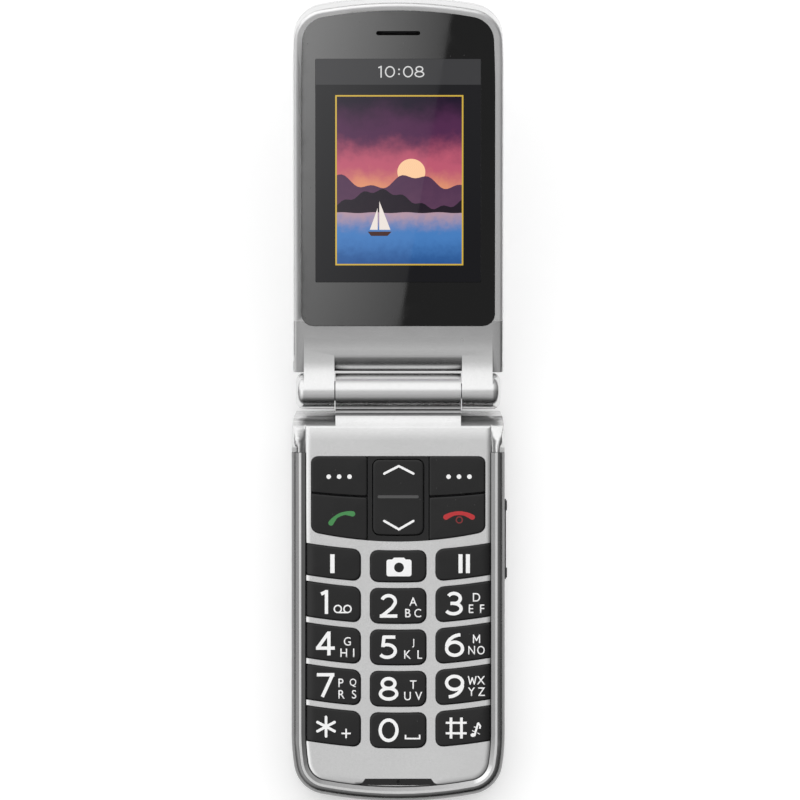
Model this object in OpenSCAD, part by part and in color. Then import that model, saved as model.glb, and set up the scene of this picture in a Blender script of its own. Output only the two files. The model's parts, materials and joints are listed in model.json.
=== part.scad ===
// Folding mobile phone with large keys, modelled open and lying on its back.
// X runs across the phone, Y along it towards the lid, Z up from the surface that it lies on.
// The origin is on the rear face, under the middle of the base.
//
// "v" is a distance from the hinge axis towards the tip of the base. The lid is modelled flat in its
// own frame, with the hinge axis at the origin, +Y to its tip and its inner face up, then tilted.

/* [Base] */
// Width of the base
base_w = 52; // [50:0.5:58]
// Length of the base, hinge axis to tip
base_l = 100; // [98:0.5:112]
// Thickness of the base, rear face to the crest of the rim
base_t = 11.2; // [10.9:0.1:13]
// Thickness of the side walls
wall = 1.4; // [1.2:0.1:1.5]
// Height of the joint line between the rear housing and the side band
split_z = 4.6; // [4:0.1:5]
// Rounding of the rear edge, along the face
rear_round_x = 2.6; // [1.5:0.1:3.2]
// Rounding of the rear edge, up the side
rear_round_z = 3.2; // [1.5:0.1:3.8]
// Height that the rim stands above the keypad face
rim_h = 0.8; // [0.6:0.05:1]
// Distance from the side to the crest of the rim
rim_out = 1.75; // [1.5:0.05:1.9]
// Width of the flat crest of the rim
rim_flat = 0.6; // [0.3:0.05:0.8]
// Distance from the side to the foot of the rim's inner slope
rim_in = 3.3; // [3.2:0.05:3.5]
// Distance down the side over which the rim rounds over
rim_round_z = 2.2; // [1.5:0.1:2.6]
// Thickness of the keypad face
face_t = 1.15; // [0.9:0.05:1.2]
// Width over which the keypad face rolls down to the foot of the rim
face_roll_x = 1.3; // [0.8:0.1:1.5]
// Height that it rolls down by
face_roll_z = 0.4; // [0.2:0.05:0.45]
// Thickness of the rear face beside the hinge
rear_t = 1.3; // [1.2:0.05:1.4]

/* [Outline] */
// Radius of the gentle arc across each tip
tip_r = 100; // [80:1:140]
// Radius of the corners at each tip
corner_r = 8.2; // [7:0.1:10]
// Radius of the arc that runs into each corner from the side
flank_r = 50; // [40:1:80]
// Distance from the tip at which that arc starts
flank_l = 16.5; // [14:0.5:20]
// Radius of the shoulders of the base beside the hinge
shoulder_r = 12.4; // [9:0.2:16]
// Distance from the hinge axis at which the shoulders start
shoulder_v = 10; // [9:0.5:12]
// Distance from the hinge axis to the end face of either half
end_v = 4.75; // [4.75:0.05:5.2]

/* [Lid] */
// Distance by which each side of the lid lies inside the side of the base
lid_inset = 0.3; // [0.1:0.05:0.6]
// Radius of the arc that runs into each corner of the lid from the side
lid_flank_r = 320; // [150:10:400]
// Distance from the tip at which that arc starts on the lid
lid_flank_l = 21.5; // [18:0.5:26]
// Thickness of the lid
lid_t = 7.6; // [7.4:0.1:9]
// Depth of the joint line between the two halves of the lid, below its inner face
lid_split = 3.75; // [3.6:0.05:4]
// Rounding of the outer edge, along the face
lid_round_x = 3; // [2:0.1:3.6]
// Rounding of the outer edge, up the side
lid_round_z = 3.2; // [2:0.1:3.4]
// Rounding of the inner edge
lid_edge = 0.9; // [0.5:0.1:1.2]
// Thickness of the lid's walls
lid_wall = 1.2; // [1:0.1:1.4]
// Thickness of the shelf that carries the window
shelf_t = 1; // [0.9:0.05:1.1]
// Angle between lid and base when fully open
open_angle = 160; // [155:1:170]
// Gap between the rim and the lid when closed
closed_gap = 0.5; // [0.4:0.05:0.8]

/* [Hinge] */
// Radius of the hinge barrel and of the lid's knuckles
barrel_r = 4.4; // [4.2:0.05:4.5]
// Length of the barrel on the base
barrel_l = 30.6; // [28:0.2:34]
// Gap between the barrel and each knuckle
knuckle_gap = 0.25; // [0.15:0.05:0.4]
// Distance by which the outer ends of the knuckles lie inside the lid's sides
knuckle_inset = 0.7; // [0.5:0.1:1.2]
// Edge radius of the knuckles' outer ends
knuckle_edge = 2; // [1:0.1:2.2]
// Distance from the hinge axis at which the lid's ramp starts
ramp_s = 14.5; // [12:0.5:15]
// Distance from the hinge axis at which the base starts to round down
roll_v = 13.4; // [13:0.2:14]
// Height that the base rounds down by at the hinge
roll_h = 5.5; // [4.5:0.1:5.8]
// Distance from the axis to the lid's edge behind the barrel
notch_s = 9.75; // [8.5:0.25:11]
// Radius of the hinge cartridge's case
case_r = 2.8; // [2.6:0.05:2.9]
// Length of the hinge cartridge's case
case_l = 12.2; // [11.5:0.1:13]
// Thickness of the case's wall
case_wall = 0.4; // [0.3:0.05:0.5]
// Radius of the turning shaft where it enters the lid
shaft_r = 1.9; // [1.6:0.05:2]
// Length of the shaft inside the lid
shaft_l = 6; // [5:0.1:7]
// Radius of the pin that runs from the shaft through the cam and the spring
pin_r = 0.8; // [0.7:0.05:0.9]
// Radius of the pin's riveted head
pin_head_r = 1.3; // [1.1:0.05:1.6]
// Length of the fixed cam
cam_l = 1.6; // [1.2:0.1:2]
// Outer radius of the hollow bush on the cable side
bush_r = 2.4; // [2.2:0.05:2.6]
// Inner radius of that bush
bush_bore_r = 1.75; // [1.65:0.05:1.85]
// Distance from the middle of the phone to the bush's inner end
bush_x = 12; // [11.5:0.1:13]
// Length of the bush
bush_l = 9; // [8:0.1:9.5]
// Wire diameter of the hinge spring
spring_wire = 0.6; // [0.4:0.05:0.65]
// Turns of the hinge spring
spring_turns = 7; // [5:1:9]
// Radial clearance of running fits
run_fit = 0.05; // [0.03:0.01:0.08]
// Radial clearance of seated fits
seat_fit = 0.03; // [0.02:0.01:0.05]

/* [Keys] */
// Travel of each key
key_travel = 0.4; // [0.3:0.05:0.45]
// Gap around each key cap
key_gap = 0.15; // [0.1:0.05:0.2]
// Height that the key caps stand above the keypad face
key_proud = 0.6; // [0.4:0.05:0.7]
// Bevel around the top of each key cap
key_bevel = 0.3; // [0.15:0.05:0.4]
// Width of the hidden flange that keeps each key in
flange_w = 0.4; // [0.3:0.05:0.45]
// Thickness of that flange
flange_t = 0.3; // [0.25:0.05:0.35]
// Gap between the rows of keys
row_gap = 1.62; // [1.5:0.02:1.8]
// Distance from the last row of keys to the tip
rows_end = 12.94; // [12.5:0.02:14]
// Distance from the navigation plate to the memory keys
memory_gap = 2.4; // [2.2:0.1:2.8]
// Height of the memory and camera keys
memory_key_h = 7.6; // [7:0.1:7.8]
// Half width of the keys in the middle column
middle_key_x = 6.8; // [6.4:0.1:7]
// Distance from the middle of the phone to the inner edge of the side columns
side_key_x = 9.2; // [9:0.05:9.6]
// Corner radius of the keys
key_r = 1.9; // [1:0.1:2.4]
// Corner radius of the side keys beside the rim
key_outer_r = 0.5; // [0.3:0.1:1]
// Radius of the curve that each row of keys follows
row_r = 135; // [110:5:200]
// Width of the microphone's grille where it is narrow
bumper_w = 16; // [12:0.5:20]
// Height of that grille
bumper_h = 1.4; // [1.2:0.1:1.8]
// Distance from that grille to the tip
bumper_end = 5.4; // [5.2:0.1:6]

/* [Navigation keys] */
// Gap between the navigation keys and the foot of the rim
nav_side = 1.55; // [1.5:0.05:2]
// Distance from the hinge axis to the top edge of the navigation plate
nav_v = 16; // [15.9:0.1:16.4]
// Height of the navigation plate at its middle
nav_h = 20.6; // [20:0.1:20.8]
// Radius of the plate's curved bottom edge
nav_arc_r = 96; // [85:1:120]
// Corner radius of the plate
nav_r = 1.6; // [1.2:0.1:2]
// Height that the plate stands above the keypad face
nav_proud = 0.35; // [0.2:0.05:0.4]
// Half width of the plate's strip around the rocker
strip_x = 7.4; // [7.3:0.05:7.6]
// Half width of the rocker key
rocker_x = 6.2; // [5.8:0.05:6.4]
// Border of the strip above the rocker
rocker_above = 0.7; // [0.6:0.05:0.9]
// Border of the strip below the rocker
rocker_below = 1.4; // [1:0.1:1.6]
// Rocking angle of the rocker each way
rocker_angle = 1.2; // [0.8:0.1:1.3]

/* [Side and rear keys] */
// Distance from the hinge axis to the middle of the volume key
volume_v = 36.1; // [34:0.1:40]
// Length of the volume key
volume_l = 19.6; // [17:0.2:22]
// Height of the volume key
volume_h = 2.6; // [2.2:0.1:2.8]
// Height of the volume key's middle above the rear face
volume_z = 7.1; // [7:0.1:7.4]
// Distance that the volume key stands out of the side
volume_proud = 0.3; // [0.2:0.05:0.5]
// Radius of the emergency key on the rear
sos_r = 4.6; // [4:0.1:5]
// Distance from the hinge axis to the emergency key
sos_v = 21.5; // [20:0.5:23]
// Depth of the emergency key below the rear face
sos_sunk = 0.3; // [0.2:0.05:0.4]
// Distance from the hinge axis to the middle of the charging socket
usb_v = 50; // [48:0.5:60]
// Width of the charging socket
usb_w = 7.6; // [7:0.1:9]
// Height of the charging socket
usb_h = 2.5; // [2.3:0.1:3]
// Length of the charging socket
usb_l = 5.3; // [5:0.1:5.6]
// Thickness of the socket's sheet metal
usb_wall = 0.3; // [0.2:0.05:0.35]

/* [Battery and cover] */
// Distance from the hinge axis to the upper edge of the battery cover
cover_v = 34.2; // [33.5:0.1:35]
// Thickness of the battery cover
cover_t = 1.1; // [0.9:0.05:1.2]
// Distance from the side of the base to the edge of the battery cover
cover_side = 3.8; // [3.6:0.1:4.2]
// Undercut of the cover's edges
dovetail = 0.5; // [0.3:0.05:0.7]
// Gap around the battery cover
cover_gap = 0.1; // [0.08:0.01:0.15]
// Distance from the side of the base to the battery
battery_side = 8; // [7.8:0.1:10]
// Distance from the hinge axis to the battery
battery_v = 47.5; // [47:0.1:50]
// Distance from the battery to the tip
battery_end = 11.5; // [11.2:0.1:15]
// Thickness of the battery
battery_t = 4.7; // [4:0.1:5]

/* [Boards] */
// Thickness of the main board
board_t = 0.8; // [0.6:0.05:0.9]
// Thickness of the switch sheet
sheet_t = 0.15; // [0.1:0.05:0.2]
// Height of the switch domes
dome_h = 0.2; // [0.15:0.05:0.25]
// Radius of the switch domes
dome_r = 2.1; // [1.6:0.1:2.4]
// Thickness of the keypad mat
mat_t = 0.35; // [0.3:0.05:0.4]
// Thickness of the flat cable
flex_t = 0.2; // [0.15:0.05:0.25]
// Radius of the cable's roll inside the barrel
flex_roll_r = 1.4; // [1.2:0.05:1.5]
// Width of the cable where it leaves the barrel
flex_w = 4.8; // [4:0.1:5.4]
// Width of the cable's tail in the lid
flex_tail_w = 2.8; // [2:0.1:3]
// Height of the shields under the board
shield_h = 1.6; // [1.2:0.1:1.8]
// Length of the shields
shield_l = 18; // [14:0.5:18]
// Thickness of the shields' sheet metal
shield_wall = 0.2; // [0.15:0.05:0.3]
// Width of the battery's contact block
contact_w = 10; // [8:0.5:11]
// Width of the SIM holder
sim_w = 16.4; // [15:0.2:17]
// Height of the SIM holder
sim_h = 1.5; // [1.3:0.05:1.6]
// Thickness of the lid's board
lid_board_t = 0.6; // [0.5:0.05:0.7]

/* [Inner pieces] */
// Distance from the side of the base to the loudspeaker
speaker_side = 5; // [4.8:0.1:6]
// Width of the loudspeaker
speaker_w = 12.6; // [11:0.1:13]
// Distance from the hinge axis to the loudspeaker
speaker_v = 13; // [13:0.5:15]
// Length of the loudspeaker
speaker_l = 15; // [12:0.5:15.5]
// Height of the loudspeaker
speaker_h = 3.05; // [2.4:0.05:3.2]
// Radius of the vibration motor
motor_r = 2; // [1.7:0.05:2.1]
// Length of the vibration motor
motor_l = 9; // [7:0.1:10]
// Distance from the side of the base to the motor's axis
motor_side = 7.6; // [7.4:0.1:7.8]
// Radius of the motor's shaft
spindle_r = 0.4; // [0.3:0.05:0.5]
// Radius of the motor's weight
weight_r = 2.2; // [1.8:0.05:2.3]
// Length of the motor's weight
weight_l = 3.4; // [2.6:0.1:3.6]
// Width of the antenna's carrier
antenna_w = 28; // [20:0.5:29]
// Radius of the microphone
mic_r = 1.35; // [1:0.05:1.6]
// Height of the microphone
mic_h = 1.25; // [1:0.05:1.4]
// Width of the earpiece
ear_box_w = 14; // [11:0.2:15]
// Length of the earpiece
ear_box_l = 7.2; // [6:0.1:7.4]
// Height of the earpiece
ear_box_h = 2.35; // [2:0.05:2.6]
// Radius of the lid's magnet
magnet_r = 2; // [1.5:0.1:2.4]
// Thickness of the lid's magnet
magnet_t = 1.3; // [1:0.1:1.5]

/* [Screws] */
// Radius of the housing screws
screw_r = 0.8; // [0.7:0.05:0.9]
// Radius of their heads
screw_head_r = 1.5; // [1.3:0.05:1.6]
// Height of their heads
head_t = 0.9; // [0.7:0.05:1]
// Radius of the screw bosses
boss_r = 1.9; // [1.7:0.05:2]
// Distance from the side of the base to the screws by the tip
boss_side = 7.5; // [7.4:0.1:8.5]
// Distance from those screws to the tip
boss_end = 7.7; // [7.5:0.1:8]
// Distance from the side of the base to the screws by the hinge
screw_side = 5.4; // [5.2:0.1:5.8]
// Distance from the hinge axis to those screws
screw_v = 10.6; // [10.4:0.1:11]
// Radius of the lid's screws
lid_screw_r = 0.6; // [0.5:0.05:0.7]
// Distance from the side of the lid to its screws by the hinge
lid_screw_side = 12.7; // [12:0.1:14]
// Distance from the hinge axis to those screws
lid_screw_s = 20.6; // [20.4:0.1:20.8]
// Distance from the side of the lid to its screws by the tip
lid_tip_screw_side = 9.2; // [9:0.1:10]
// Distance from those screws to the tip
lid_tip_screw_end = 10.5; // [10.3:0.1:10.8]

/* [Display] */
// Border of the lid beside the display window
window_border = 2.15; // [2:0.05:2.4]
// Distance from the hinge axis to the window's near edge
window_s = 16.75; // [16.5:0.05:17]
// Border of the lid past the window
window_end = 1.85; // [1.8:0.05:2.4]
// Thickness of the window
window_t = 1; // [0.8:0.05:1.1]
// Depth of the window below the lid's inner face
window_drop = 0.15; // [0.1:0.05:0.3]
// Radius of the window's far corners
window_r = 6.2; // [5.4:0.1:7]
// Radius of the window's near corners
window_near_r = 3; // [2:0.2:4]
// Border of the window beside the display module
display_border = 2.25; // [2:0.05:3]
// Distance from the hinge axis to the display module
display_s = 25.6; // [25.2:0.1:26]
// Border of the window past the display module
display_end = 12.15; // [12:0.05:14]
// Thickness of the display module
display_t = 1.9; // [1.5:0.1:2]
// Distance from the earpiece slot to the lid's tip
ear_end = 7.7; // [7.5:0.05:8]
// Length of the earpiece slot
ear_l = 10.7; // [8:0.1:12]
// Width of the earpiece slot
ear_w = 1.1; // [0.8:0.1:1.4]

/* [Camera] */
// Distance from the camera to the lid's tip
camera_end = 28; // [27:0.5:34]
// Width of the camera module
camera_w = 8; // [6:0.2:9]
// Radius of the camera's lens
lens_r = 2.9; // [2:0.1:3]
// Half width of the outer window
outer_window_x = 9; // [7:0.2:11]
// Half length of the outer window
outer_window_l = 15; // [12:0.5:17]
// Thickness of the outer window
outer_window_t = 0.7; // [0.5:0.05:0.8]
// Corner radius of the outer window
outer_window_r = 3; // [2:0.2:4]

/* [Hidden] */
$fn = 48;

// Colours
silver = [0.76, 0.77, 0.78];
bright = [0.85, 0.86, 0.87];
graphite = [0.12, 0.12, 0.13];
gloss_black = [0.05, 0.05, 0.06];
board_green = [0.08, 0.3, 0.18];
steel = [0.62, 0.63, 0.66];
amber = [0.75, 0.5, 0.18];

// Clearances
touch = 0.05;    // between still pieces that seat on each other
part_gap = 0.1;  // between still pieces side by side
over = 0.5;      // how far a cut runs past the face that it opens
join = 0.4;      // how far joined solids reach into each other
clear = 9;       // how far the cuts beside the hinge reach into the open
half_bevel = 1 - cos(45);  // share of a round bevel's width that is left half way round it

// Widths and lengths that follow the base and the lid
lid_w = base_w - 2*lid_inset;
knuckle_span = lid_w - 2*knuckle_inset;
nav_x = base_w/2 - rim_in - nav_side;
cover_x = base_w/2 - cover_side;
battery_w = base_w - 2*battery_side;
battery_l = base_l - battery_end - battery_v;
window_w = lid_w - 2*window_border;
window_l = base_l - window_end;
display_w = window_w - 2*display_border;
display_l = window_l - display_end - display_s;
ear_s = base_l - ear_end;
camera_s = base_l - camera_end;

// The rows of keys fill the face between the navigation plate and the tip
memory_v = nav_v + nav_h + memory_gap + memory_key_h/2;
rows_v = memory_v + memory_key_h/2 + row_gap;
key_h = (base_l - rows_end - rows_v - 3*row_gap)/4;
row_pitch = key_h + row_gap;
digit_v = rows_v + key_h/2;

// The hinge axis
hinge_y = base_l/2;
hinge_z = base_t + closed_gap/2;
lid_tilt = 180 - open_angle;

// Heights in the base, from the keypad face down
face_z = base_t - rim_h;
face_under = face_z - face_t;
key_top = face_z + key_proud;
flange_top = face_under - touch;
key_bottom = flange_top - flange_t;
mat_top = key_bottom - key_travel - touch;
mat_z = mat_top - mat_t;
board_top = mat_z - touch - dome_h - sheet_t;
board_z = board_top - board_t;
skirt_top = face_under + 0.35;
skirt_z = split_z - 1;
// and from the rear face up
floor_z = cover_t + cover_gap;
rear_floor = floor_z + 1;
battery_z = floor_z + touch;
pocket_z = battery_z + battery_t + part_gap;
pocket_top = board_z - part_gap;

// Insets from the side of the base
skirt_in = wall + part_gap;
skirt_w = 1.4;
inner_in = skirt_in + skirt_w;
plate_in = rim_in + touch;
block_v = shoulder_v + 5;    // the block beside the hinge ends here
block_wall = 5;
block_roof = 1.2;
inner_v = shoulder_v - 2;
board_v = block_v + 0.3;
barrel_x = barrel_l/2;
knuckle_x = barrel_x + knuckle_gap;
valley_r = barrel_r + 0.3;
valley_l = 3;       // how far the base rounds down beside the barrel
valley_h = 1.1;     // and how deep

// The battery bay
bay_v = cover_v + 1.3;
pocket_x = battery_w/2 + part_gap;
pocket_end = battery_v + battery_l + part_gap;
pocket_wall = 1;
contact_v = battery_v - 1.2;      // the contact block stands at the battery's near end
sim_end = battery_v - 1.8;        // and the SIM holder ends beside it

// The screws
boss_x = base_w/2 - boss_side;
boss_v = base_l - boss_end;
screw_x = base_w/2 - screw_side;
block_cavity_x = screw_x - 3;     // half width of the space inside the block between its screws
head_z = 0.6;                     // depth of the heads by the hinge
hinge_screw_top = split_z + 2.6;

// Heights in the lid's own frame
inner_h = -closed_gap/2;
outer_h = inner_h - lid_t;
lid_split_h = inner_h - lid_split;
window_h = inner_h - window_drop;
shelf_h = window_h - window_t - touch;
shelf_under = shelf_h - shelf_t;
display_h = shelf_h - touch;
lid_board_top = min(display_h - display_t, shelf_under) - part_gap;
cover_inner = outer_h + lid_wall;
camera_top = lid_board_top - lid_board_t - touch;
lid_post_r = 3*lid_screw_r;
lid_screw_at = [for (side = [-1, 1]) each [[side*(lid_w/2 - lid_screw_side), lid_screw_s],
    [side*(lid_w/2 - lid_tip_screw_side), base_l - lid_tip_screw_end]]];

// ---------- points and outlines ----------

function arc(c, r, a0, a1, n, first = 0) =
    [for (i = [first:n]) let (a = a0 + (a1 - a0)*i/n) [c[0] + r*cos(a), c[1] + r*sin(a)]];

// Where circles of radius ra about ca and rb about cb meet, on the right of the line from ca to cb
function meet(ca, ra, cb, rb) =
    let (d = norm(cb - ca), u = (cb - ca)/d, x = (d*d + ra*ra - rb*rb)/(2*d))
    ca + u*x + [u[1], -u[0]]*sqrt(ra*ra - x*x);

// Outline of a half of the phone or of its window, d inside and from v0 to its tip. A shape is
// [width, length from the hinge axis, corner radius, flank radius, flank length, shoulder radius,
// distance at which the shoulders start]
function outline(shape, d, v0) =
    let (
        x = shape[0]/2,
        l = shape[1],
        c1 = [0, l - tip_r],
        c3 = [x - shape[3], l - shape[4]],
        c2 = meet(c1, tip_r - shape[2], c3, shape[3] - shape[2]),
        a3 = atan2(c2[1] - c3[1], c2[0] - c3[0]),
        a1 = atan2(c2[1] - c1[1], c2[0] - c1[0]),
        a0 = asin(max(0, min(1, (shape[6] - v0)/(shape[5] - d)))),
        shoulder = [x - shape[5], shape[6]],
        near = a0 > 0 ? arc(shoulder, shape[5] - d, -a0, 0, 4) : [[x - d, v0]],
        right = concat(near,
            arc(c3, shape[3] - d, 0, a3, 3),
            arc(c2, shape[2] - d, a3, a1, 7, 1),
            arc(c1, tip_r - d, a1, 90, 5, 1)))
    concat(right, [for (i = [len(right) - 2:-1:0]) [-right[i][0], right[i][1]]]);

base_shape = [base_w, base_l, corner_r, flank_r, flank_l, shoulder_r, shoulder_v];
straight_shape = [base_w, base_l, corner_r, flank_r, flank_l, 900, shoulder_v];
lid_shape = [lid_w, base_l, corner_r, lid_flank_r, lid_flank_l, 300, 12];
window_shape = [window_w, window_l, window_r, lid_flank_r, lid_flank_l, window_near_r,
    window_s + window_near_r];

function base_outline(d, v0 = end_v) = outline(base_shape, d, v0);
function lid_outline(d, v0 = end_v) = outline(lid_shape, d, v0);
function window_outline(d) = outline(window_shape, d, window_s + d);

// Rounded rectangle, r = [near left, near right, far right, far left], with n points along its
// near and far edges
function round_rect(x0, x1, y0, y1, r, n = 0) = concat(
    arc([x0 + r[0], y0 + r[0]], r[0], 180, 270, 4),
    along(x0 + r[0], x1 - r[1], y0, n),
    arc([x1 - r[1], y0 + r[1]], r[1], 270, 360, 4),
    arc([x1 - r[2], y1 - r[2]], r[2], 0, 90, 4),
    along(x1 - r[2], x0 + r[3], y1, n),
    arc([x0 + r[3], y1 - r[3]], r[3], 90, 180, 4));
function along(x0, x1, y, n) = n == 0 ? [] : [for (i = [1:n]) [x0 + (x1 - x0)*i/(n + 1), y]];

function reversed(points) = [for (i = [len(points) - 1:-1:0]) points[i]];

// Plan points of the base, x and v, in the frame of the part
function to_base(points) = [for (p = reversed(points)) [p[0], hinge_y - p[1]]];

// Section of a rounded edge: how far in, and how far along, from the flat face to the side
function edge(rx, rz, n) = [for (i = [0:n]) let (a = 90*i/n) [rx*(1 - sin(a)), rz*(1 - cos(a))]];

// Quarter of an ellipse that rolls from [v, z] down to [v - a, z - b]
function roll(v, z, a, b, n) = [for (i = [0:n]) let (t = 90*i/n) [v - a*sin(t), z - b*(1 - cos(t))]];

// ---------- building blocks ----------

// Solid through rings of equally many points; rings = [[z, points], ...] from the bottom up
module loft(rings) {
    n = len(rings[0][1]);
    m = len(rings);
    function middle(p) = [for (k = [0, 1]) [for (q = p) q[k]]*[for (q = p) 1]/len(p)];
    low = middle(rings[0][1]);
    high = middle(rings[m - 1][1]);
    points = concat(
        [for (r = rings) for (p = r[1]) [p[0], p[1], r[0]]],
        [[low[0], low[1], rings[0][0]], [high[0], high[1], rings[m - 1][0]]]);
    faces = concat(
        [for (i = [0:n - 1]) [i, (i + 1)%n, m*n]],
        [for (i = [0:n - 1]) [(m - 1)*n + (i + 1)%n, (m - 1)*n + i, m*n + 1]],
        [for (k = [0:m - 2]) for (i = [0:n - 1]) [k*n + i, (k + 1)*n + i, (k + 1)*n + (i + 1)%n]],
        [for (k = [0:m - 2]) for (i = [0:n - 1]) [k*n + i, (k + 1)*n + (i + 1)%n, k*n + (i + 1)%n]]);
    polyhedron(points, faces);
}

module slab(points, z0, z1) {
    translate([0, 0, z0]) linear_extrude(z1 - z0) polygon(points);
}

module base_slab(points, z0, z1) {
    slab(to_base(points), z0, z1);
}

// Box of the base between two distances from the hinge axis
module base_box(x0, x1, v0, v1, z0, z1) {
    translate([x0, hinge_y - v1, z0]) cube([x1 - x0, v1 - v0, z1 - z0]);
}

module base_post(x, v, r, z0, z1) {
    translate([x, hinge_y - v, z0]) cylinder(r = r, h = z1 - z0);
}

module box(x0, x1, y0, y1, z0, z1) {
    translate([x0, y0, z0]) cube([x1 - x0, y1 - y0, z1 - z0]);
}

module post(x, y, r, z0, z1) {
    translate([x, y, z0]) cylinder(r = r, h = z1 - z0);
}

// Section in the YZ plane, drawn out across the phone
module across(points, x0, x1) {
    translate([x0, 0, 0]) rotate([90, 0, 90]) linear_extrude(x1 - x0) polygon(points);
}

// The same, for a section of the base given as v and z
module base_across(points, x0, x1) {
    across(to_base_section(points), x0, x1);
}
function to_base_section(points) = [for (p = points) [hinge_y - p[0], p[1]]];

// Round bar along the hinge axis, in the lid's own frame
module bar(r, x0, x1) {
    translate([x0, 0, 0]) rotate([0, 90, 0]) cylinder(r = r, h = x1 - x0);
}

module tube(r, bore, x0, x1) {
    difference() {
        bar(r, x0, x1);
        bar(bore, x0 - over, x1 + over);
    }
}

module at_hinge() {
    translate([0, hinge_y, hinge_z]) children();
}

module lid_frame() {
    at_hinge() rotate([lid_tilt, 0, 0]) children();
}

// Strip of thickness t along a path in a section
function ribbon(path, t) = concat(
    [for (p = path) [p[0], p[1] + t/2]],
    [for (p = reversed(path)) [p[0], p[1] - t/2]]);

// ---------- shells of the base ----------

module rear_loft() {
    rings = edge(rear_round_x, rear_round_z, 5);
    loft(concat([for (e = rings) [e[1], to_base(base_outline(e[0], end_v + e[0]))]],
        [[split_z, to_base(base_outline(0))]]));
}

module upper_loft() {
    rings = reversed(edge(rim_out, rim_round_z, 5));
    loft(concat([[split_z + touch, to_base(base_outline(0))]],
        [for (e = rings) [base_t - e[1], to_base(base_outline(e[0]))]]));
}

// The hollow inside the rim, from the height z0 up, with the inner slope of the rim
module rim_hollow(z0) {
    foot = rim_ring(rim_in);
    top = rim_ring(rim_out + rim_flat);
    loft([[z0, foot], [face_z - face_roll_z, foot], [base_t, top], [base_t + over, top]]);
}
function rim_ring(d) = to_base(outline(straight_shape, d, 0));

// The same hollow over the keypad face, which rolls down to the foot of the rim
module face_hollow() {
    top = rim_ring(rim_out + rim_flat);
    loft(concat([for (e = edge(face_roll_x, face_roll_z, 4)) [face_z - e[1], rim_ring(rim_in + e[0])]],
        [[base_t, top], [base_t + over, top]]));
}

// Space over the base where it rolls down to the hinge
module roll_cut(x0, x1) {
    low = base_t - roll_h;
    end = end_v - touch;
    base_across(concat([[roll_v, base_t + clear], [end - clear, base_t + clear], [end - clear, low]],
        reversed(roll(roll_v, base_t, roll_v - end, roll_h, 8))), x0, x1);
}

// What the hinge takes out of the base's shells
module hinge_cuts() {
    valley_v = end_v + valley_l;
    for (side = [0, 1]) mirror([side, 0, 0]) {
        at_hinge() bar(valley_r, barrel_x, base_w/2 + over);
        roll_cut(barrel_x, base_w/2 + over);
    }
    // the middle, beside the barrel
    base_across(concat([[valley_v, base_t + clear], [-clear, base_t + clear], [-clear, face_z - valley_h]],
        reversed(roll(valley_v, face_z, valley_l + join, valley_h, 6))), -barrel_x - touch, barrel_x + touch);
}

// The barrel on the base and the neck that carries it
module barrel() {
    neck_v = end_v + 4;
    neck_low = split_z + 0.3;
    neck_top = face_z - valley_h - touch;
    base_across([[neck_v, neck_low], [end_v + 0.1, neck_low], [-0.6, hinge_z - barrel_r + 0.5],
        [0.5, hinge_z - 1], [barrel_r + 0.2, neck_top], [neck_v, neck_top]], -barrel_x, barrel_x);
    at_hinge() bar(barrel_r, -barrel_x, barrel_x);
}

case_x = barrel_x - part_gap - case_l;
case_bore_r = case_r - case_wall;
bush_end = -bush_x - bush_l;

// The flat cable: from its roll in the barrel down to the main board, and from the roll up to the
// lid's board. Sections are v and z in the base, s and h in the lid.
flex_x = [1.2 - bush_x, 1.2 - bush_x + flex_w];
flex_path = [[0.2, hinge_z - 1.32], [3, hinge_z - 3.1], [8, board_top + 0.3],
    [block_v - 1.6, board_top + touch + flex_t/2]];
lid_flex_x = [bush_end + 0.6, bush_end + 0.6 + flex_tail_w];
lid_flex_path = [[1.1, -0.95], [window_s + 1.2, shelf_under - 0.5],
    [display_s - 1.4, lid_board_top + touch + flex_t/2]];
flex_slot = 0.9;    // height of the slots that the cable passes through

// Bores along the barrel for the cartridge, the cable and the bush
module barrel_bores() {
    at_hinge() {
        bar(case_r + seat_fit, case_x - touch, barrel_x + over);
        bar(bush_bore_r + 0.3, -bush_x, case_x + touch);
        bar(bush_r + run_fit, -barrel_x - over, -bush_x + 0.4);
    }
    base_across(ribbon(flex_path, flex_slot - part_gap), flex_x[0] - 0.3, flex_x[1] + 0.3);
}

// ---------- keys ----------

// A point of a row, where each row follows an arc about the hinge's side
function on_row(p) = [p[0], p[1] - p[0]*p[0]/(2*row_r)];

// Outline of a key of a row, d inside its edge, between x[0] and x[1], v from the axis and h high
function row_key(x, v, h, r, d) =
    [for (p = round_rect(x[0] + d, x[1] - d, v - h/2 + d, v + h/2 - d, [for (q = r) q - d], 3)) on_row(p)];

// The columns of keys are -1, 0 and 1. The side columns end just inside the foot of the rim.
side_far_x = base_w/2 - rim_in - 0.3;
function column_x(c) =
    c == 0 ? [-middle_key_x, middle_key_x] :
    c > 0 ? [side_key_x, side_far_x] : [-side_far_x, -side_key_x];
function column_r(c) =
    c == 0 ? [key_r, key_r, key_r, key_r] :
    c > 0 ? [key_r, key_outer_r, key_outer_r, key_r] : [key_outer_r, key_r, key_r, key_outer_r];

// The flange of a key, which stops short of the rim's foot
function flange_x(c) = let (x = column_x(c), end = side_far_x + 0.2)
    [max(x[0] - flange_w, -end), min(x[1] + flange_w, end)];

module row_cap(c, v, h) {
    x = column_x(c);
    r = column_r(c);
    color(gloss_black) union() {
        cap(flange_top - flange_t/2, row_key(x, v, h, r, 0), row_key(x, v, h, r, key_bevel*half_bevel),
            row_key(x, v, h, r, key_bevel));
        base_slab(row_key(flange_x(c), v, h + 2*flange_w, [for (q = r) q + flange_w/2], 0), key_bottom,
            flange_top);
    }
}

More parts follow.
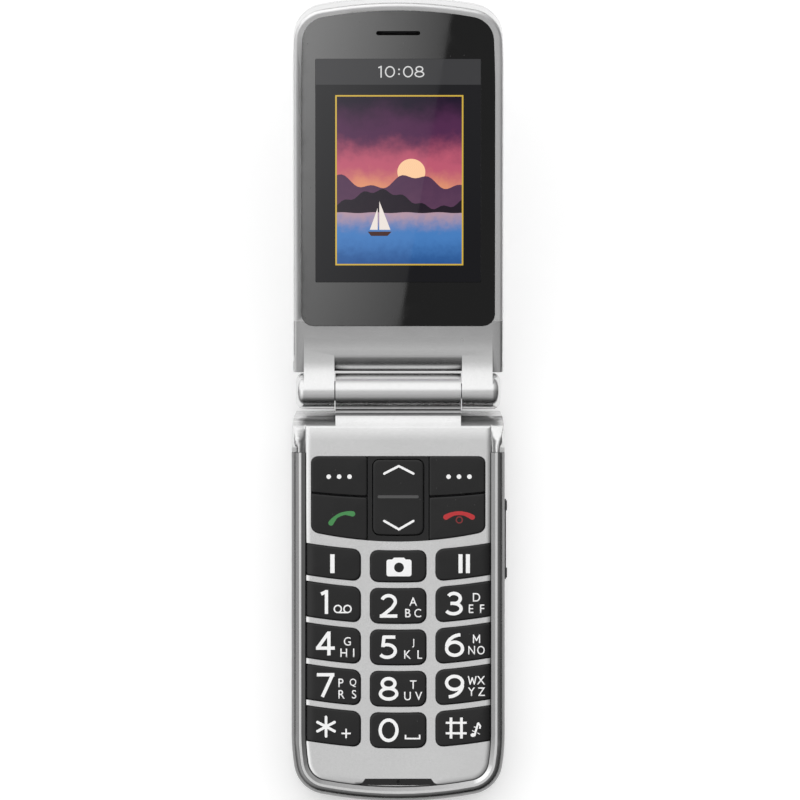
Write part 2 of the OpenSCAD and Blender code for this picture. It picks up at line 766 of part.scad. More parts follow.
// Opening in the face for a key of a row; beside the rim it runs out to the rim
module row_opening(c, v, h) {
    x = column_x(c);
    r = [for (q = column_r(c)) q + key_gap/2];
    end = base_w/2 - rim_in + over/2;
    base_slab(row_key([c < 0 ? -end : x[0] - key_gap, c > 0 ? end : x[1] + key_gap], v, h + 2*key_gap, r, 0),
        face_under - over, face_z + over);
}

module digit_key(i, c) {
    row_cap(c, digit_v + i*row_pitch, key_h);
}

// The bottom edge of the navigation plate is an arc, and what lies in it follows in proportion
function nav_point(p) = [p[0], p[1] - (p[1] - nav_v)/nav_h*p[0]*p[0]/(2*nav_arc_r)];
function nav_rect(x0, x1, v0, v1, r, n = 4) = [for (p = round_rect(x0, x1, v0, v1, r, n)) nav_point(p)];
function nav_outline(d) =
    nav_rect(-nav_x + d, nav_x - d, nav_v + d, nav_v + nav_h - d, [1, 1, 1, 1]*(nav_r - d), 15);

nav_near = nav_v + rocker_above;
nav_far = nav_v + nav_h - rocker_below;
nav_mid = (nav_near + nav_far)/2;
nav_in = strip_x + key_gap;
nav_key_gap = 0.3;   // between the near and the far keys
nav_key_r = 0.5;     // radius of their inner corners

// Outline of an outer key, d inside: side -1 or 1, in the near or the far row. The corner beside
// the plate's own corner has the plate's radius.
function nav_key(side, far, d = 0) = let (
        x = side > 0 ? [nav_in + d, nav_x - d] : [-nav_x + d, -nav_in - d],
        half_gap = nav_key_gap/2,
        v = far ? [nav_mid + half_gap + d, nav_v + nav_h - d] : [nav_v + d, nav_mid - half_gap - d],
        big = max(nav_r - d, 0.1),
        small = max(nav_key_r - d, 0.1),
        r = [!far && side < 0 ? big : small, !far && side > 0 ? big : small,
            far && side > 0 ? big : small, far && side < 0 ? big : small])
    nav_rect(x[0], x[1], v[0], v[1], r);
function rocker_outline(d) =
    nav_rect(-rocker_x + d, rocker_x - d, nav_near + d, nav_far - d, [1, 1, 1, 1]*(nav_r - d));

// Cap from the height z0 with a round bevel. It has the outline side at its sides, half where the
// bevel is half way round and top at its top.
module cap(z0, side, half, top) {
    loft([[z0, to_base(side)], [key_top - key_bevel, to_base(side)],
        [key_top - key_bevel*half_bevel, to_base(half)], [key_top, to_base(top)]]);
}

module nav_cap(side, far) {
    color(gloss_black) union() {
        cap(flange_top - flange_t/2, nav_key(side, far), nav_key(side, far, key_bevel*half_bevel),
            nav_key(side, far, key_bevel));
        intersection() {
            base_slab(nav_outline(-flange_w), key_bottom, flange_top);
            base_slab(nav_key(side, far, touch - nav_key_gap/2), key_bottom, flange_top);
        }
    }
}

rocker_half = (nav_far - nav_near)/2;
rocker_dip = rocker_half*sin(rocker_angle) + touch;
rocker_axis_z = key_bottom + 0.1;
rocker_flange = 4;   // length of the rocker's flange
rocker_foot_x = rocker_x - 1;

module key_nav() {
    low = key_bottom + rocker_dip;
    near = nav_mid - rocker_flange/2;
    far = nav_mid + rocker_flange/2;
    color(gloss_black) union() {
        cap(low, rocker_outline(0), rocker_outline(key_bevel*half_bevel), rocker_outline(key_bevel));
        base_box(-rocker_x - flange_w, rocker_x + flange_w, near, far, key_bottom,
            flange_top - rocker_flange/2*sin(rocker_angle));
        base_box(-rocker_foot_x, rocker_foot_x, near, far, key_bottom, low + join);
        translate([-rocker_foot_x, hinge_y - nav_mid, rocker_axis_z]) rotate([0, 90, 0])
            cylinder(r = rocker_axis_z - mat_top - touch, h = 2*rocker_foot_x);
    }
}

module key_soft_left() { nav_cap(-1, false); }
module key_soft_right() { nav_cap(1, false); }
module key_call() { nav_cap(-1, true); }
module key_end() { nav_cap(1, true); }
module key_memory_1() { row_cap(-1, memory_v, memory_key_h); }
module key_camera() { row_cap(0, memory_v, memory_key_h); }
module key_memory_2() { row_cap(1, memory_v, memory_key_h); }

// ---------- base pieces ----------

module bumper_outline(d) {
    near = bumper_v + d;
    far = bumper_v + bumper_h - d;
    polygon(to_base([[-bumper_w/2 + d, near], [bumper_w/2 - d, near], [bumper_w/2 + 1 - d, far],
        [-bumper_w/2 - 1 + d, far]]));
}
bumper_v = base_l - bumper_end;
bumper_depth = 0.5;
bumper_z = face_z - bumper_depth;
bumper_proud = 0.15;
mic_v = bumper_v + bumper_h/2;
mic_hole_r = 0.5;

volume_gap = 0.15;     // around the volume key
volume_flange = [0.6, 0.4];    // how far its flange reaches past it, along and up
volume_axis_x = base_w/2 - wall - 0.6;
pad_w = 2.4;           // the raised pads at its ends
fulcrum_r = 0.55;      // the ridge that it rocks on

// Thickness, length and height of what lies behind the key: a button at each end, the strip that
// carries them and its plug
switch_button = [0.7, 3, 2];
switch_strip = [0.2, volume_l, 2.4];
switch_plug = [0.7, 4, 2.2];
switch_back = volume_axis_x - fulcrum_r - 2*touch;
switch_x = switch_back - switch_button[0] - switch_strip[0] - switch_plug[0];
usb_z = board_z - usb_h/2 - touch;
usb_x = 0.6 - base_w/2;

// Box whose size is w along x, l along y and h up, about the middle of its near x face
module side_box(x, v, z, w, l, h) {
    translate([x, hinge_y - v - l/2, z - h/2]) cube([w, l, h]);
}

// Window in the walls for the volume key. It is wider behind the outer wall, where the key's flange is.
module volume_window() {
    room = volume_flange + [part_gap, part_gap]*2;
    side_box(base_w/2 - wall - over, volume_v, volume_z, wall + 2*over, volume_l + 2*volume_gap,
        volume_h + 2*volume_gap);
    side_box(base_w/2 - inner_in - over, volume_v, volume_z, inner_in - wall + over, volume_l + 2*room[0],
        volume_h + 2*room[1]);
}

module usb_window() {
    side_box(-base_w/2 - over, usb_v, usb_z, usb_l + 1.2, usb_w + 0.6, usb_h + 0.6);
}

module front_housing() {
    color(silver) difference() {
        union() {
            difference() {
                union() {
                    // the block beside the hinge, as wide as the base
                    intersection() {
                        upper_loft();
                        base_box(-base_w, base_w, 0, block_v - part_gap/2, 0, base_t + over);
                    }
                    // the keypad face, and the thinner edge that the side band holds down
                    base_slab(base_outline(plate_in, inner_v), skirt_top - join, face_z);
                    base_slab(base_outline(skirt_in, inner_v), skirt_z, skirt_top);
                }
                face_hollow();
                base_slab(base_outline(inner_in, inner_v - 1), skirt_z - over, split_z + touch);
                base_slab(base_outline(inner_in, block_v), skirt_z - over, face_under);
                hinge_cuts();
                // the space inside the block
                base_box(-block_cavity_x, block_cavity_x, end_v + block_wall, block_v + over, split_z,
                    face_under - block_roof);
            }
            barrel();
            for (side = [-1, 1]) base_post(side*boss_x, boss_v, boss_r, split_z, face_under + join);
        }
        barrel_bores();
        for (c = [-1:1]) {
            row_opening(c, memory_v, memory_key_h);
            for (i = [0:3]) row_opening(c, digit_v + i*row_pitch, key_h);
        }
        base_slab(nav_outline(-key_gap), face_under - over, face_z + over);
        strip_room(part_gap);
        for (side = [-1, 1]) {
            base_post(side*boss_x, boss_v, screw_r - 0.1, split_z - over, face_under - touch);
            base_post(side*screw_x, screw_v, screw_r - 0.1, split_z - over, hinge_screw_top);
        }
        translate([0, 0, bumper_z - touch]) linear_extrude(1) bumper_outline(-touch);
        base_post(0, mic_v, mic_hole_r, face_under - over, face_z);
        volume_window();
        usb_window();
    }
}

// The foot of the navigation plate reaches under the face above and below the rocker
module strip_room(g) {
    base_box(-strip_x, strip_x, nav_v - strip_foot - g, nav_v + nav_h + strip_foot + g, face_under - over,
        face_under + strip_foot_t + g);
}
strip_foot = 0.9;
strip_foot_t = 0.5;

module side_band() {
    color(bright) difference() {
        upper_loft();
        base_box(-base_w, base_w, 0, block_v + part_gap/2, 0, base_t + over);
        base_slab(base_outline(wall, inner_v), split_z - over, skirt_top + touch);
        rim_hollow(skirt_top - over);
        volume_window();
        usb_window();
    }
}

// Section of the cover's dovetail, grown by g
module cover_section(g) {
    x = cover_x + g;
    translate([0, hinge_y - cover_v + g, 0]) rotate([90, 0, 0]) linear_extrude(base_l)
        polygon([[-x, -over], [x, -over], [x, 0], [x + dovetail, cover_t + g],
            [-x - dovetail, cover_t + g], [-x, 0]]);
}

// Heights about the emergency key: it is kept in by the ledge under its flange
sos_ledge = 1.2;
sos_flange_w = 0.55;
sos_flange_t = 0.35;
sos_ring_t = 1.9;
sos_top = sos_ledge + touch + sos_flange_t;

module rear_housing() {
    color(silver) difference() {
        union() {
            difference() {
                rear_loft();
                base_slab(base_outline(wall, end_v + 2*wall), rear_t, split_z + over);
            }
            // the floor over the battery cover, and the pocket's walls and roof
            base_slab(base_outline(wall - join/2, cover_v + 0.2), cover_t - over, rear_floor);
            base_box(-pocket_x - pocket_wall, pocket_x + pocket_wall, contact_v - part_gap,
                pocket_end + pocket_wall, rear_floor - join, pocket_top);
            for (side = [-1, 1]) {
                base_post(side*boss_x, boss_v, boss_r, rear_floor - join, split_z - part_gap);
                base_post(side*screw_x, screw_v, boss_r + 0.3, rear_t - join, split_z - part_gap);
            }
            // the ring that guides the emergency key
            base_post(0, sos_v, sos_r + 4*sos_flange_w, rear_t - join, sos_ring_t);
        }
        cover_section(cover_gap);
        base_box(-pocket_x, pocket_x, battery_v - part_gap, pocket_end, -over, pocket_z);
        base_box(-sim_w/2 - 0.8, sim_w/2 + 0.8, bay_v, sim_end + 0.4, -over, split_z + over);
        base_box(-contact_w/2 - 1, contact_w/2 + 1, contact_v - 0.3, battery_v, -over, board_z + over);
        for (side = [-1, 1]) {
            screw_well(side*boss_x, boss_v, rear_floor - part_gap + head_t/2);
            screw_well(side*screw_x, screw_v, head_z + head_t);
        }
        base_post(0, sos_v, sos_r + key_gap, -over, sos_ring_t + over);
        base_post(0, sos_v, sos_r + sos_flange_w + key_gap + touch, sos_ledge, sos_ring_t + over);
        for (i = [-2:2]) base_box(speaker_x[0] + 2, speaker_x[1] - 2, speaker_mid + i*slot_pitch - slot_w/2,
            speaker_mid + i*slot_pitch + slot_w/2, -over, rear_t + over);
        volume_window();
        usb_window();
        hinge_cuts();
        // the end below the hinge is hollowed so that the lid can swing fully back
        at_hinge() bar(valley_r, -base_w, base_w);
    }
}

// Hole for a screw, with a wider well for its head up to the height z
module screw_well(x, v, z) {
    base_post(x, v, screw_r + part_gap, -over, split_z + over);
    base_post(x, v, screw_head_r + part_gap, -over, z);
}

// Ridges that the thumb grips to slide the cover
ridge_v = cover_v + 3;
ridge_x = 7;
ridge_w = 0.7;
ridge_pitch = 1.6;
ridge_depth = 0.25;

module battery_cover() {
    color(graphite) difference() {
        intersection() {
            rear_loft();
            cover_section(0);
            base_box(-base_w, base_w, 0, base_l + over, -over, cover_t);
        }
        for (i = [0:3]) base_box(-ridge_x + i*0.6, ridge_x - i*0.6, ridge_v + i*ridge_pitch,
            ridge_v + i*ridge_pitch + ridge_w, -over, ridge_depth);
    }
}

module nav_plate() {
    plate_z = face_under + 0.2;
    color(gloss_black) difference() {
        union() {
            intersection() {
                base_slab(nav_outline(0), plate_z, face_z + nav_proud);
                base_box(-strip_x, strip_x, nav_v - over, nav_v + nav_h + over, plate_z, base_t);
            }
            base_box(-strip_x, strip_x, nav_v - strip_foot, nav_v + nav_h + strip_foot, face_under,
                face_under + strip_foot_t);
        }
        base_slab(rocker_outline(-key_gap - touch), face_under - over, face_z + over);
    }
}

// Points under the middle of each key, where the mat presses a dome
function column_mid(c) = (column_x(c)[0] + column_x(c)[1])/2;
key_centres = [for (p = concat(
    [for (c = [-1:1]) [column_mid(c), memory_v]],
    [for (i = [0:3]) for (c = [-1:1]) [column_mid(c), digit_v + i*row_pitch]],
    [for (side = [-1, 1]) for (part = [0.27, 0.77]) [side*(nav_in + nav_x)/2, nav_v + part*nav_h]],
    [for (side = [-1, 1]) [0, nav_mid + side*(rocker_half - 2.7)]])) on_row(p)];

// Space for the volume switches and for the bosses of the housing
module board_notches() {
    base_box(switch_x - part_gap, base_w, volume_v - volume_l/2 - 0.3, volume_v + volume_l/2 + 0.3, 0,
        base_t);
    for (side = [-1, 1]) base_post(side*boss_x, boss_v, boss_r + part_gap, 0, base_t);
}

// The mat and the switch sheet end before the screw bosses by the tip
module beyond_keys() {
    base_box(-base_w, base_w, boss_v - boss_r - 0.2, base_l + over, 0, base_t);
}

board_in = inner_in + 0.1;
mat_in = board_in + 0.2;

module keypad_mat() {
    color([0.25, 0.25, 0.27]) difference() {
        union() {
            base_slab(base_outline(mat_in, board_v), mat_z, mat_top);
            // the rim that stands round the switch sheet and holds the mat at its height
            difference() {
                base_slab(base_outline(mat_in, board_v), board_top + sheet_t + touch, mat_top);
                base_slab(base_outline(mat_in + 0.5, board_v + 0.5), 0, base_t);
            }
        }
        board_notches();
        beyond_keys();
    }
}

module dome_sheet() {
    sheet_top = board_top + sheet_t;
    color(steel) difference() {
        union() {
            base_slab(base_outline(mat_in + 0.6, board_v + 0.6), board_top, sheet_top);
            for (p = key_centres) base_post(p[0], p[1], dome_r, sheet_top - touch, sheet_top + dome_h);
        }
        board_notches();
        beyond_keys();
    }
}

module main_board() {
    color(board_green) difference() {
        union() {
            base_slab(base_outline(board_in, board_v), board_z, board_top);
            base_box(-block_cavity_x + 0.3, block_cavity_x - 0.3, end_v + block_wall + 0.3, board_v + 1,
                board_z, board_top);
        }
        board_notches();
        base_box(-base_w, base_w, boss_v - 0.3, base_l + over, 0, base_t);
    }
}

// The vibration motor lies beside the right shield
motor_x = base_w/2 - motor_side;
motor_z = rear_t + touch + 2.4;
motor_v = block_v + 4.6;
motor_foot = motor_r + 0.6;

// The shields lie side by side under the board, the right one up to the motor
shield_x = [[7 - base_w/2, -2.2], [2.2, motor_x - motor_r - 0.8]];
shield_v = block_v + 1;

module board_shields() {
    w = shield_wall;
    low = board_z - shield_h;
    color(steel) for (x = shield_x) difference() {
        base_box(x[0], x[1], shield_v, shield_v + shield_l, low, board_z);
        base_box(x[0] + w, x[1] - w, shield_v + w, shield_v + shield_l - w, low + w, board_z + over);
    }
}

module battery() {
    color([0.2, 0.22, 0.26]) base_slab(round_rect(-battery_w/2, battery_w/2, battery_v, battery_v + battery_l,
        [1, 1, 1, 1]), battery_z, battery_z + battery_t);
}

module battery_contacts() {
    color(amber) {
        base_box(-contact_w/2, contact_w/2, contact_v, contact_v + 0.75, board_z - 3.2, board_z);
        for (i = [-1:1]) base_box(i*3 - 0.5, i*3 + 0.5, battery_v - over, battery_v - touch, board_z - 2.8,
            board_z - 2);
    }
}

module sim_holder() {
    low = board_z - sim_h;
    color(steel) difference() {
        base_box(-sim_w/2, sim_w/2, bay_v + 0.3, sim_end, low, board_z);
        base_box(-sim_w/2 + 0.6, sim_w/2 - 0.6, bay_v - over, sim_end - 0.6, low + 0.3, board_z - 0.3);
    }
}

module usb_socket() {
    tongue = [usb_l - 1.1, usb_w - 2.8, 0.6];
    color(steel) difference() {
        side_box(usb_x, usb_v, usb_z, usb_l, usb_w, usb_h);
        side_box(usb_x - over, usb_v, usb_z, usb_l - usb_wall + over, usb_w - 2*usb_wall, usb_h - 2*usb_wall);
    }
    color(graphite) side_box(usb_x + 1, usb_v, usb_z, tongue[0], tongue[1], tongue[2]);
}

speaker_x = [speaker_side - base_w/2, speaker_side - base_w/2 + speaker_w];
speaker_mid = speaker_v + speaker_l/2;
slot_pitch = 2.2;   // of the slots behind the loudspeaker
slot_w = 1;

module loudspeaker() {
    low = rear_t + touch;
    color(graphite) difference() {
        speaker_slab(0, 1, low, low + speaker_h);
        speaker_slab(1, 0.6, low - over, low + 0.45);
    }
}
module speaker_slab(d, r, z0, z1) {
    base_slab(round_rect(speaker_x[0] + d, speaker_x[1] - d, speaker_v + d, speaker_v + speaker_l - d,
        [r, r, r, r]), z0, z1);
}

module along_v(x, z, r, v0, v1) {
    translate([x, hinge_y - v0, z]) rotate([90, 0, 0]) cylinder(r = r, h = v1 - v0);
}

module vibration_motor() {
    end = motor_v + motor_l;
    color(steel) difference() {
        union() {
            along_v(motor_x, motor_z, motor_r, motor_v, end);
            base_box(motor_x - motor_foot, motor_x + motor_foot, motor_v + 1, end - 1, rear_t + touch,
                motor_z - 0.6);
        }
        along_v(motor_x, motor_z, spindle_r + run_fit, motor_v - over, motor_v + 3);
    }
}

module vibration_weight() {
    far = motor_v - 0.6;
    near = far - weight_l;
    color(amber) {
        along_v(motor_x, motor_z, spindle_r, near - 0.2, motor_v + 2.6);
        difference() {
            along_v(motor_x, motor_z, weight_r, near, far);
            base_box(motor_x - weight_r - over, motor_x + weight_r + over, near - over, far + over,
                motor_z + spindle_r + 0.2, motor_z + weight_r + over);
        }
    }
}

module microphone() {
    color(steel) base_post(0, mic_v, mic_r, face_under - touch - mic_h, face_under - touch);
}

module mic_bumper() {
    color(gloss_black) difference() {
        translate([0, 0, bumper_z]) linear_extrude(bumper_depth + bumper_proud) bumper_outline(0);
        base_post(0, mic_v, mic_hole_r - part_gap, bumper_z - over, base_t);
    }
}

module antenna() {
    end = base_l - inner_in - 1.6;
    top = board_z - part_gap;
    color(graphite) base_box(-antenna_w/2, antenna_w/2, boss_v - 0.6, end, rear_floor + touch, top);
    color(amber) base_box(1 - antenna_w/2, antenna_w/2 - 1, boss_v + 0.4, end - 0.6, top, top + 0.3);
}

module volume_rocker() {
    inside = base_w/2 - wall - over;
    flange_x0 = volume_axis_x - 0.3;
    flange_end = base_w/2 - wall - part_gap - 0.32;
    color(graphite) union() {
        // the cap, with a raised pad at each end
        side_box(inside, volume_v, volume_z, base_w/2 + volume_proud - inside, volume_l, volume_h);
        for (side = [-1, 1]) side_box(base_w/2 + volume_proud - join, volume_v + side*(volume_l/2 - 1.6),
            volume_z, join + 0.25, pad_w, volume_h - 0.6);
        // the flange behind the wall, and the fulcrum that it rocks on
        side_box(flange_x0, volume_v, volume_z, flange_end - flange_x0, volume_l + 2*volume_flange[0],
            volume_h + 2*volume_flange[1]);
        base_post(volume_axis_x, volume_v, fulcrum_r, volume_z - volume_h/2 - volume_flange[1],
            volume_z + volume_h/2 + volume_flange[1]);
    }
}

module side_switches() {
    button = switch_button;
    strip = switch_strip;
    plug = switch_plug;
    color(amber) {
        for (side = [-1, 1]) side_box(switch_back - button[0], volume_v + side*(volume_l/2 - button[1]),
            volume_z, button[0], button[1], button[2]);
        side_box(switch_x + plug[0], volume_v, volume_z, strip[0], strip[1], strip[2]);
        side_box(switch_x, volume_v, volume_z, plug[0], plug[1], plug[2]);
    }
}

module sos_key() {
    color([0.8, 0.12, 0.08]) {
        base_post(0, sos_v, sos_r, sos_sunk, sos_top);
        base_post(0, sos_v, sos_r + sos_flange_w, sos_top - sos_flange_t, sos_top);
        base_post(0, sos_v, 1.2, sos_top - part_gap, board_z - key_travel - part_gap);
    }
}

module housing_screws() {
    boss_head = floor_z + part_gap;
    color(steel) for (side = [-1, 1]) {
        screw(side*screw_x, screw_v, head_z, head_z + head_t - touch, hinge_screw_top - 0.2);
        screw(side*boss_x, boss_v, boss_head, rear_floor - part_gap - touch + head_t/2, face_under - 0.4);
    }
}

// Screw with a cross in its head, which lies between z0 and z1; the shank ends at the height end
module screw(x, v, z0, z1, end) {
    slot = 0.4;
    difference() {
        union() {
            base_post(x, v, screw_head_r, z0, z1);
            base_post(x, v, screw_r - 0.15, z0 + 0.2, end);
        }
        base_box(x - 1, x + 1, v - slot/2, v + slot/2, z0 - over, z0 + slot);
        base_box(x - slot/2, x + slot/2, v - 1, v + 1, z0 - over, z0 + slot);
    }
}

// ---------- hinge pieces ----------

cam_x = [barrel_x - 1.8 - cam_l, barrel_x - 1.8];
follower_l = 0.7;    // the shaft's end that rides on the cam

module hinge_case() {
    color(steel) at_hinge() difference() {
        bar(case_r, case_x, barrel_x - part_gap);
        bar(case_bore_r, case_x + 0.6, barrel_x + over);
        bar(pin_r + run_fit, case_x - over, case_x + 1);
    }
}

module hinge_cam() {
    color(steel) at_hinge() tube(case_bore_r - run_fit, pin_r + run_fit, cam_x[0], cam_x[1]);
}

module hinge_spring() {
    sides = 6;
    steps = 12;
    wire_r = spring_wire/2;
    mean_r = case_bore_r - touch - wire_r - run_fit;
    x0 = case_x + 0.65 + wire_r;
    x1 = cam_x[0] - touch - wire_r;
    count = spring_turns*steps;
    points = [for (k = [0:count]) let (a = 360*k/steps, x = x0 + (x1 - x0)*k/count)
        for (j = [0:sides - 1]) let (b = 360*j/sides, r = mean_r + wire_r*cos(b))
            [x + wire_r*sin(b), r*cos(a), r*sin(a)]];
    sides_between = [for (k = [0:count - 1]) for (j = [0:sides - 1])
        let (a = k*sides, b = a + sides, next = (j + 1)%sides)
        each [[a + j, b + j, b + next], [a + j, b + next, a + next]]];
    ends = [[for (j = [0:sides - 1]) j], [for (j = [sides - 1:-1:0]) count*sides + j]];
    faces = concat(ends, sides_between);
    color(steel) at_hinge() polyhedron(points, faces);
}

module hinge_shaft() {
    color(steel) lid_frame() {
        bar(shaft_r, cam_x[1] + 0.6, barrel_x + shaft_l);
        bar(case_bore_r - run_fit, cam_x[1] + touch, cam_x[1] + follower_l);
        bar(pin_r, case_x - 0.9, cam_x[1] + 0.3);
        bar(pin_head_r, case_x - 1, case_x - part_gap);
    }
}

module hinge_bush() {
    color(graphite) lid_frame() difference() {
        tube(bush_r, bush_bore_r, bush_end, -bush_x - touch);
        across(ribbon([[0, -0.7], [5, -1.7]], flex_slot), lid_flex_x[0] - 0.2, lid_flex_x[1] + 0.2);
    }
}

module flex_cable() {
    inside = flex_roll_r - flex_t;
    color(amber) {
        at_hinge() tube(flex_roll_r, inside, lid_flex_x[0] - 0.2, flex_x[1]);
        difference() {
            base_across(ribbon(flex_path, flex_t), flex_x[0], flex_x[1]);
            at_hinge() bar(inside, flex_x[0] - over, flex_x[1] + over);
        }
    }
}

module flex_lid_tail() {
    color(amber) lid_frame() difference() {
        across(ribbon(lid_flex_path, flex_t), lid_flex_x[0], lid_flex_x[1]);
        bar(flex_roll_r + touch, lid_flex_x[0] - over, lid_flex_x[1] + over);
    }
}

// ---------- lid pieces ----------

module lid_inner_loft() {
    rings = edge(lid_edge, lid_edge, 3);
    loft(concat([[lid_split_h, lid_outline(0)]],
        [for (i = [3:-1:0]) [inner_h - rings[i][1], lid_outline(rings[i][0])]]));
}

module lid_outer_loft() {
    rings = edge(lid_round_x, lid_round_z, 5);
    loft(concat([for (e = rings) [outer_h + e[1], lid_outline(e[0])]],
        [[lid_split_h - touch, lid_outline(0)]]));
}

// Section of the ramp that rises from the lid's inner face to the knuckles
ramp_r = (ramp_s*ramp_s + inner_h*inner_h - barrel_r*barrel_r)/(2*(barrel_r - inner_h));
ramp_meet = atan2(ramp_r + inner_h, ramp_s);
ramp_start = 0.985*barrel_r*[cos(ramp_meet), sin(ramp_meet)];
ramp_section = concat(
    [[ramp_s, inner_h - 1], [0, inner_h - 1], [0, 0], ramp_start],
    [for (i = [1:7]) let (a = 270 - (90 - ramp_meet)*(1 - i/7))
        [ramp_s, inner_h + ramp_r] + ramp_r*[cos(a), sin(a)]]);

// Section of the material between a knuckle and the lid
web_section = [[0, 0], [0, -barrel_r + 0.2], [end_v + 1, lid_split_h], [end_v + 1, inner_h]];

module knuckle(side) {
    length = knuckle_span/2 - knuckle_x;
    translate([side > 0 ? knuckle_x : -knuckle_x, 0, 0]) rotate([0, side*90, 0]) rotate_extrude()
        union() {
            square([barrel_r, length - knuckle_edge]);
            square([barrel_r - knuckle_edge, length]);
            translate([barrel_r - knuckle_edge, length - knuckle_edge]) circle(r = knuckle_edge);
        }
}

// The space that the barrel takes out of the lid's end
module barrel_notch() {
    edge_points = roll(notch_s, inner_h + 0.62, notch_s - end_v + touch, 1.8, 7);
    low = outer_h - over;
    across(concat([[notch_s, clear], [-clear, clear], [-clear, low], [end_v - touch, low]],
        reversed(edge_points)), -knuckle_x, knuckle_x);
}

// Section of the space outside the lid's end, which rolls up to the knuckles
roll_up_s = 14;
roll_up = [for (p = roll(roll_up_s, -outer_h, roll_up_s - end_v + touch, lid_split_h - outer_h - 0.4, 7))
    [p[0], -p[1]]];

module lid_inner_housing() {
    ramp_x = knuckle_span/2 - knuckle_edge;
    color(silver) lid_frame() difference() {
        union() {
            lid_inner_loft();
            across(ramp_section, -ramp_x, ramp_x);
            for (side = [-1, 1]) {
                knuckle(side);
                across(web_section, side > 0 ? knuckle_x : -ramp_x, side > 0 ? ramp_x : -knuckle_x);
            }
        }
        barrel_notch();
        // seat of the window, opening for the display, and the space behind
        slab(window_outline(-touch), shelf_h, inner_h + over);
        box(-display_w/2 - part_gap, display_w/2 + part_gap, display_s - part_gap,
            display_s + display_l + part_gap, lid_split_h - over, shelf_h + over);
        slab(lid_outline(lid_wall, window_s + 1.8), lid_split_h - over, shelf_under);
        // holes for the earpiece, the screws and the cable
        box(-ear_l/2, ear_l/2, ear_s - 1.5, ear_s + 1.5, shelf_under - over, shelf_h + over);
        for (p = lid_screw_at) {
            post(p[0], p[1], lid_screw_r + part_gap, shelf_under - over, shelf_h + over);
            post(p[0], p[1], 2*lid_screw_r + part_gap, shelf_h - 0.6, shelf_h + over);
        }
        across(ribbon([[0, -0.7], lid_flex_path[1] + [1, 0]], flex_slot), lid_flex_x[0] - 0.2,
            lid_flex_x[1] + 0.2);
        bar(shaft_r + seat_fit, barrel_x, barrel_x + shaft_l + 0.2);
        bar(bush_r + seat_fit, bush_end - part_gap, -barrel_x);
    }
}

module lid_outer_cover() {
    color(bright) lid_frame() difference() {
        union() {
            difference() {
                lid_outer_loft();
                slab(lid_outline(lid_wall + 0.8, window_s + 1), cover_inner, lid_split_h + over);
            }
            for (p = lid_screw_at) post(p[0], p[1], lid_post_r, cover_inner - join, shelf_under - part_gap);
        }
        across(concat([[roll_up_s, outer_h - over]], roll_up,
            [[-clear, lid_split_h - join], [-clear, outer_h - over]]), -lid_w, lid_w);
        outer_window_slab(touch, outer_h - over, outer_h + outer_window_t + touch);
        post(0, camera_s, lens_r + 0.3, outer_h - over, cover_inner + over);
        for (p = lid_screw_at) post(p[0], p[1], lid_screw_r + touch, cover_inner, shelf_under);
    }
}

module outer_window_slab(g, z0, z1) {
    x = outer_window_x + g;
    l = outer_window_l + g;
    slab(round_rect(-x, x, camera_s - l, camera_s + l, [1, 1, 1, 1]*(outer_window_r + g)), z0, z1);
}

module display_window() {
    color(gloss_black) lid_frame() difference() {
        slab(window_outline(0), window_h - window_t, window_h);
        slab(round_rect(-ear_l/2, ear_l/2, ear_s - ear_w/2, ear_s + ear_w/2, [1, 1, 1, 1]*ear_w*0.45),
            window_h - window_t - over, window_h + over);
    }
}

module display_module() {
    color([0.1, 0.12, 0.16]) lid_frame()
        box(-display_w/2, display_w/2, display_s, display_s + display_l, display_h - display_t, display_h);
}

module lid_board() {
    color(board_green) lid_frame() difference() {
        box(4.7 - lid_w/2, lid_w/2 - 4.7, window_s + 6, ear_s - ear_box_l/2 - 1.4,
            lid_board_top - lid_board_t, lid_board_top);
        for (p = lid_screw_at) post(p[0], p[1], lid_post_r + 0.3, outer_h, 0);
    }
}

module earpiece() {
    x = ear_box_w/2;
    l = ear_box_l/2;
    color(steel) lid_frame() difference() {
        slab(round_rect(-x, x, ear_s - l, ear_s + l, [2, 2, 2, 2]), shelf_under - touch - ear_box_h,
            shelf_under - touch);
        slab(round_rect(1 - x, x - 1, ear_s + 1 - l, ear_s + l - 1, [1, 1, 1, 1]), shelf_under - 0.4,
            shelf_under);
    }
}

module camera_module() {
    half = camera_w/2;
    color(graphite) lid_frame() {
        box(-half, half, camera_s - half, camera_s + half, cover_inner + 0.1, camera_top);
        post(0, camera_s, lens_r, outer_h + outer_window_t + part_gap, cover_inner + 0.3);
    }
}

module camera_window() {
    color(gloss_black) lid_frame() outer_window_slab(0, outer_h, outer_h + outer_window_t);
}

module lid_magnet() {
    color(steel) lid_frame() post(lid_w/2 - 8.7, ear_s - 9, magnet_r, cover_inner, cover_inner + magnet_t);
}

module lid_screws() {
    color(steel) lid_frame() for (p = lid_screw_at) {
        post(p[0], p[1], lid_screw_r, cover_inner + 0.6, shelf_h - 0.3);
        post(p[0], p[1], 2*lid_screw_r, shelf_h - 0.55, shelf_h - part_gap);
    }
}

// ---------- nodes ----------

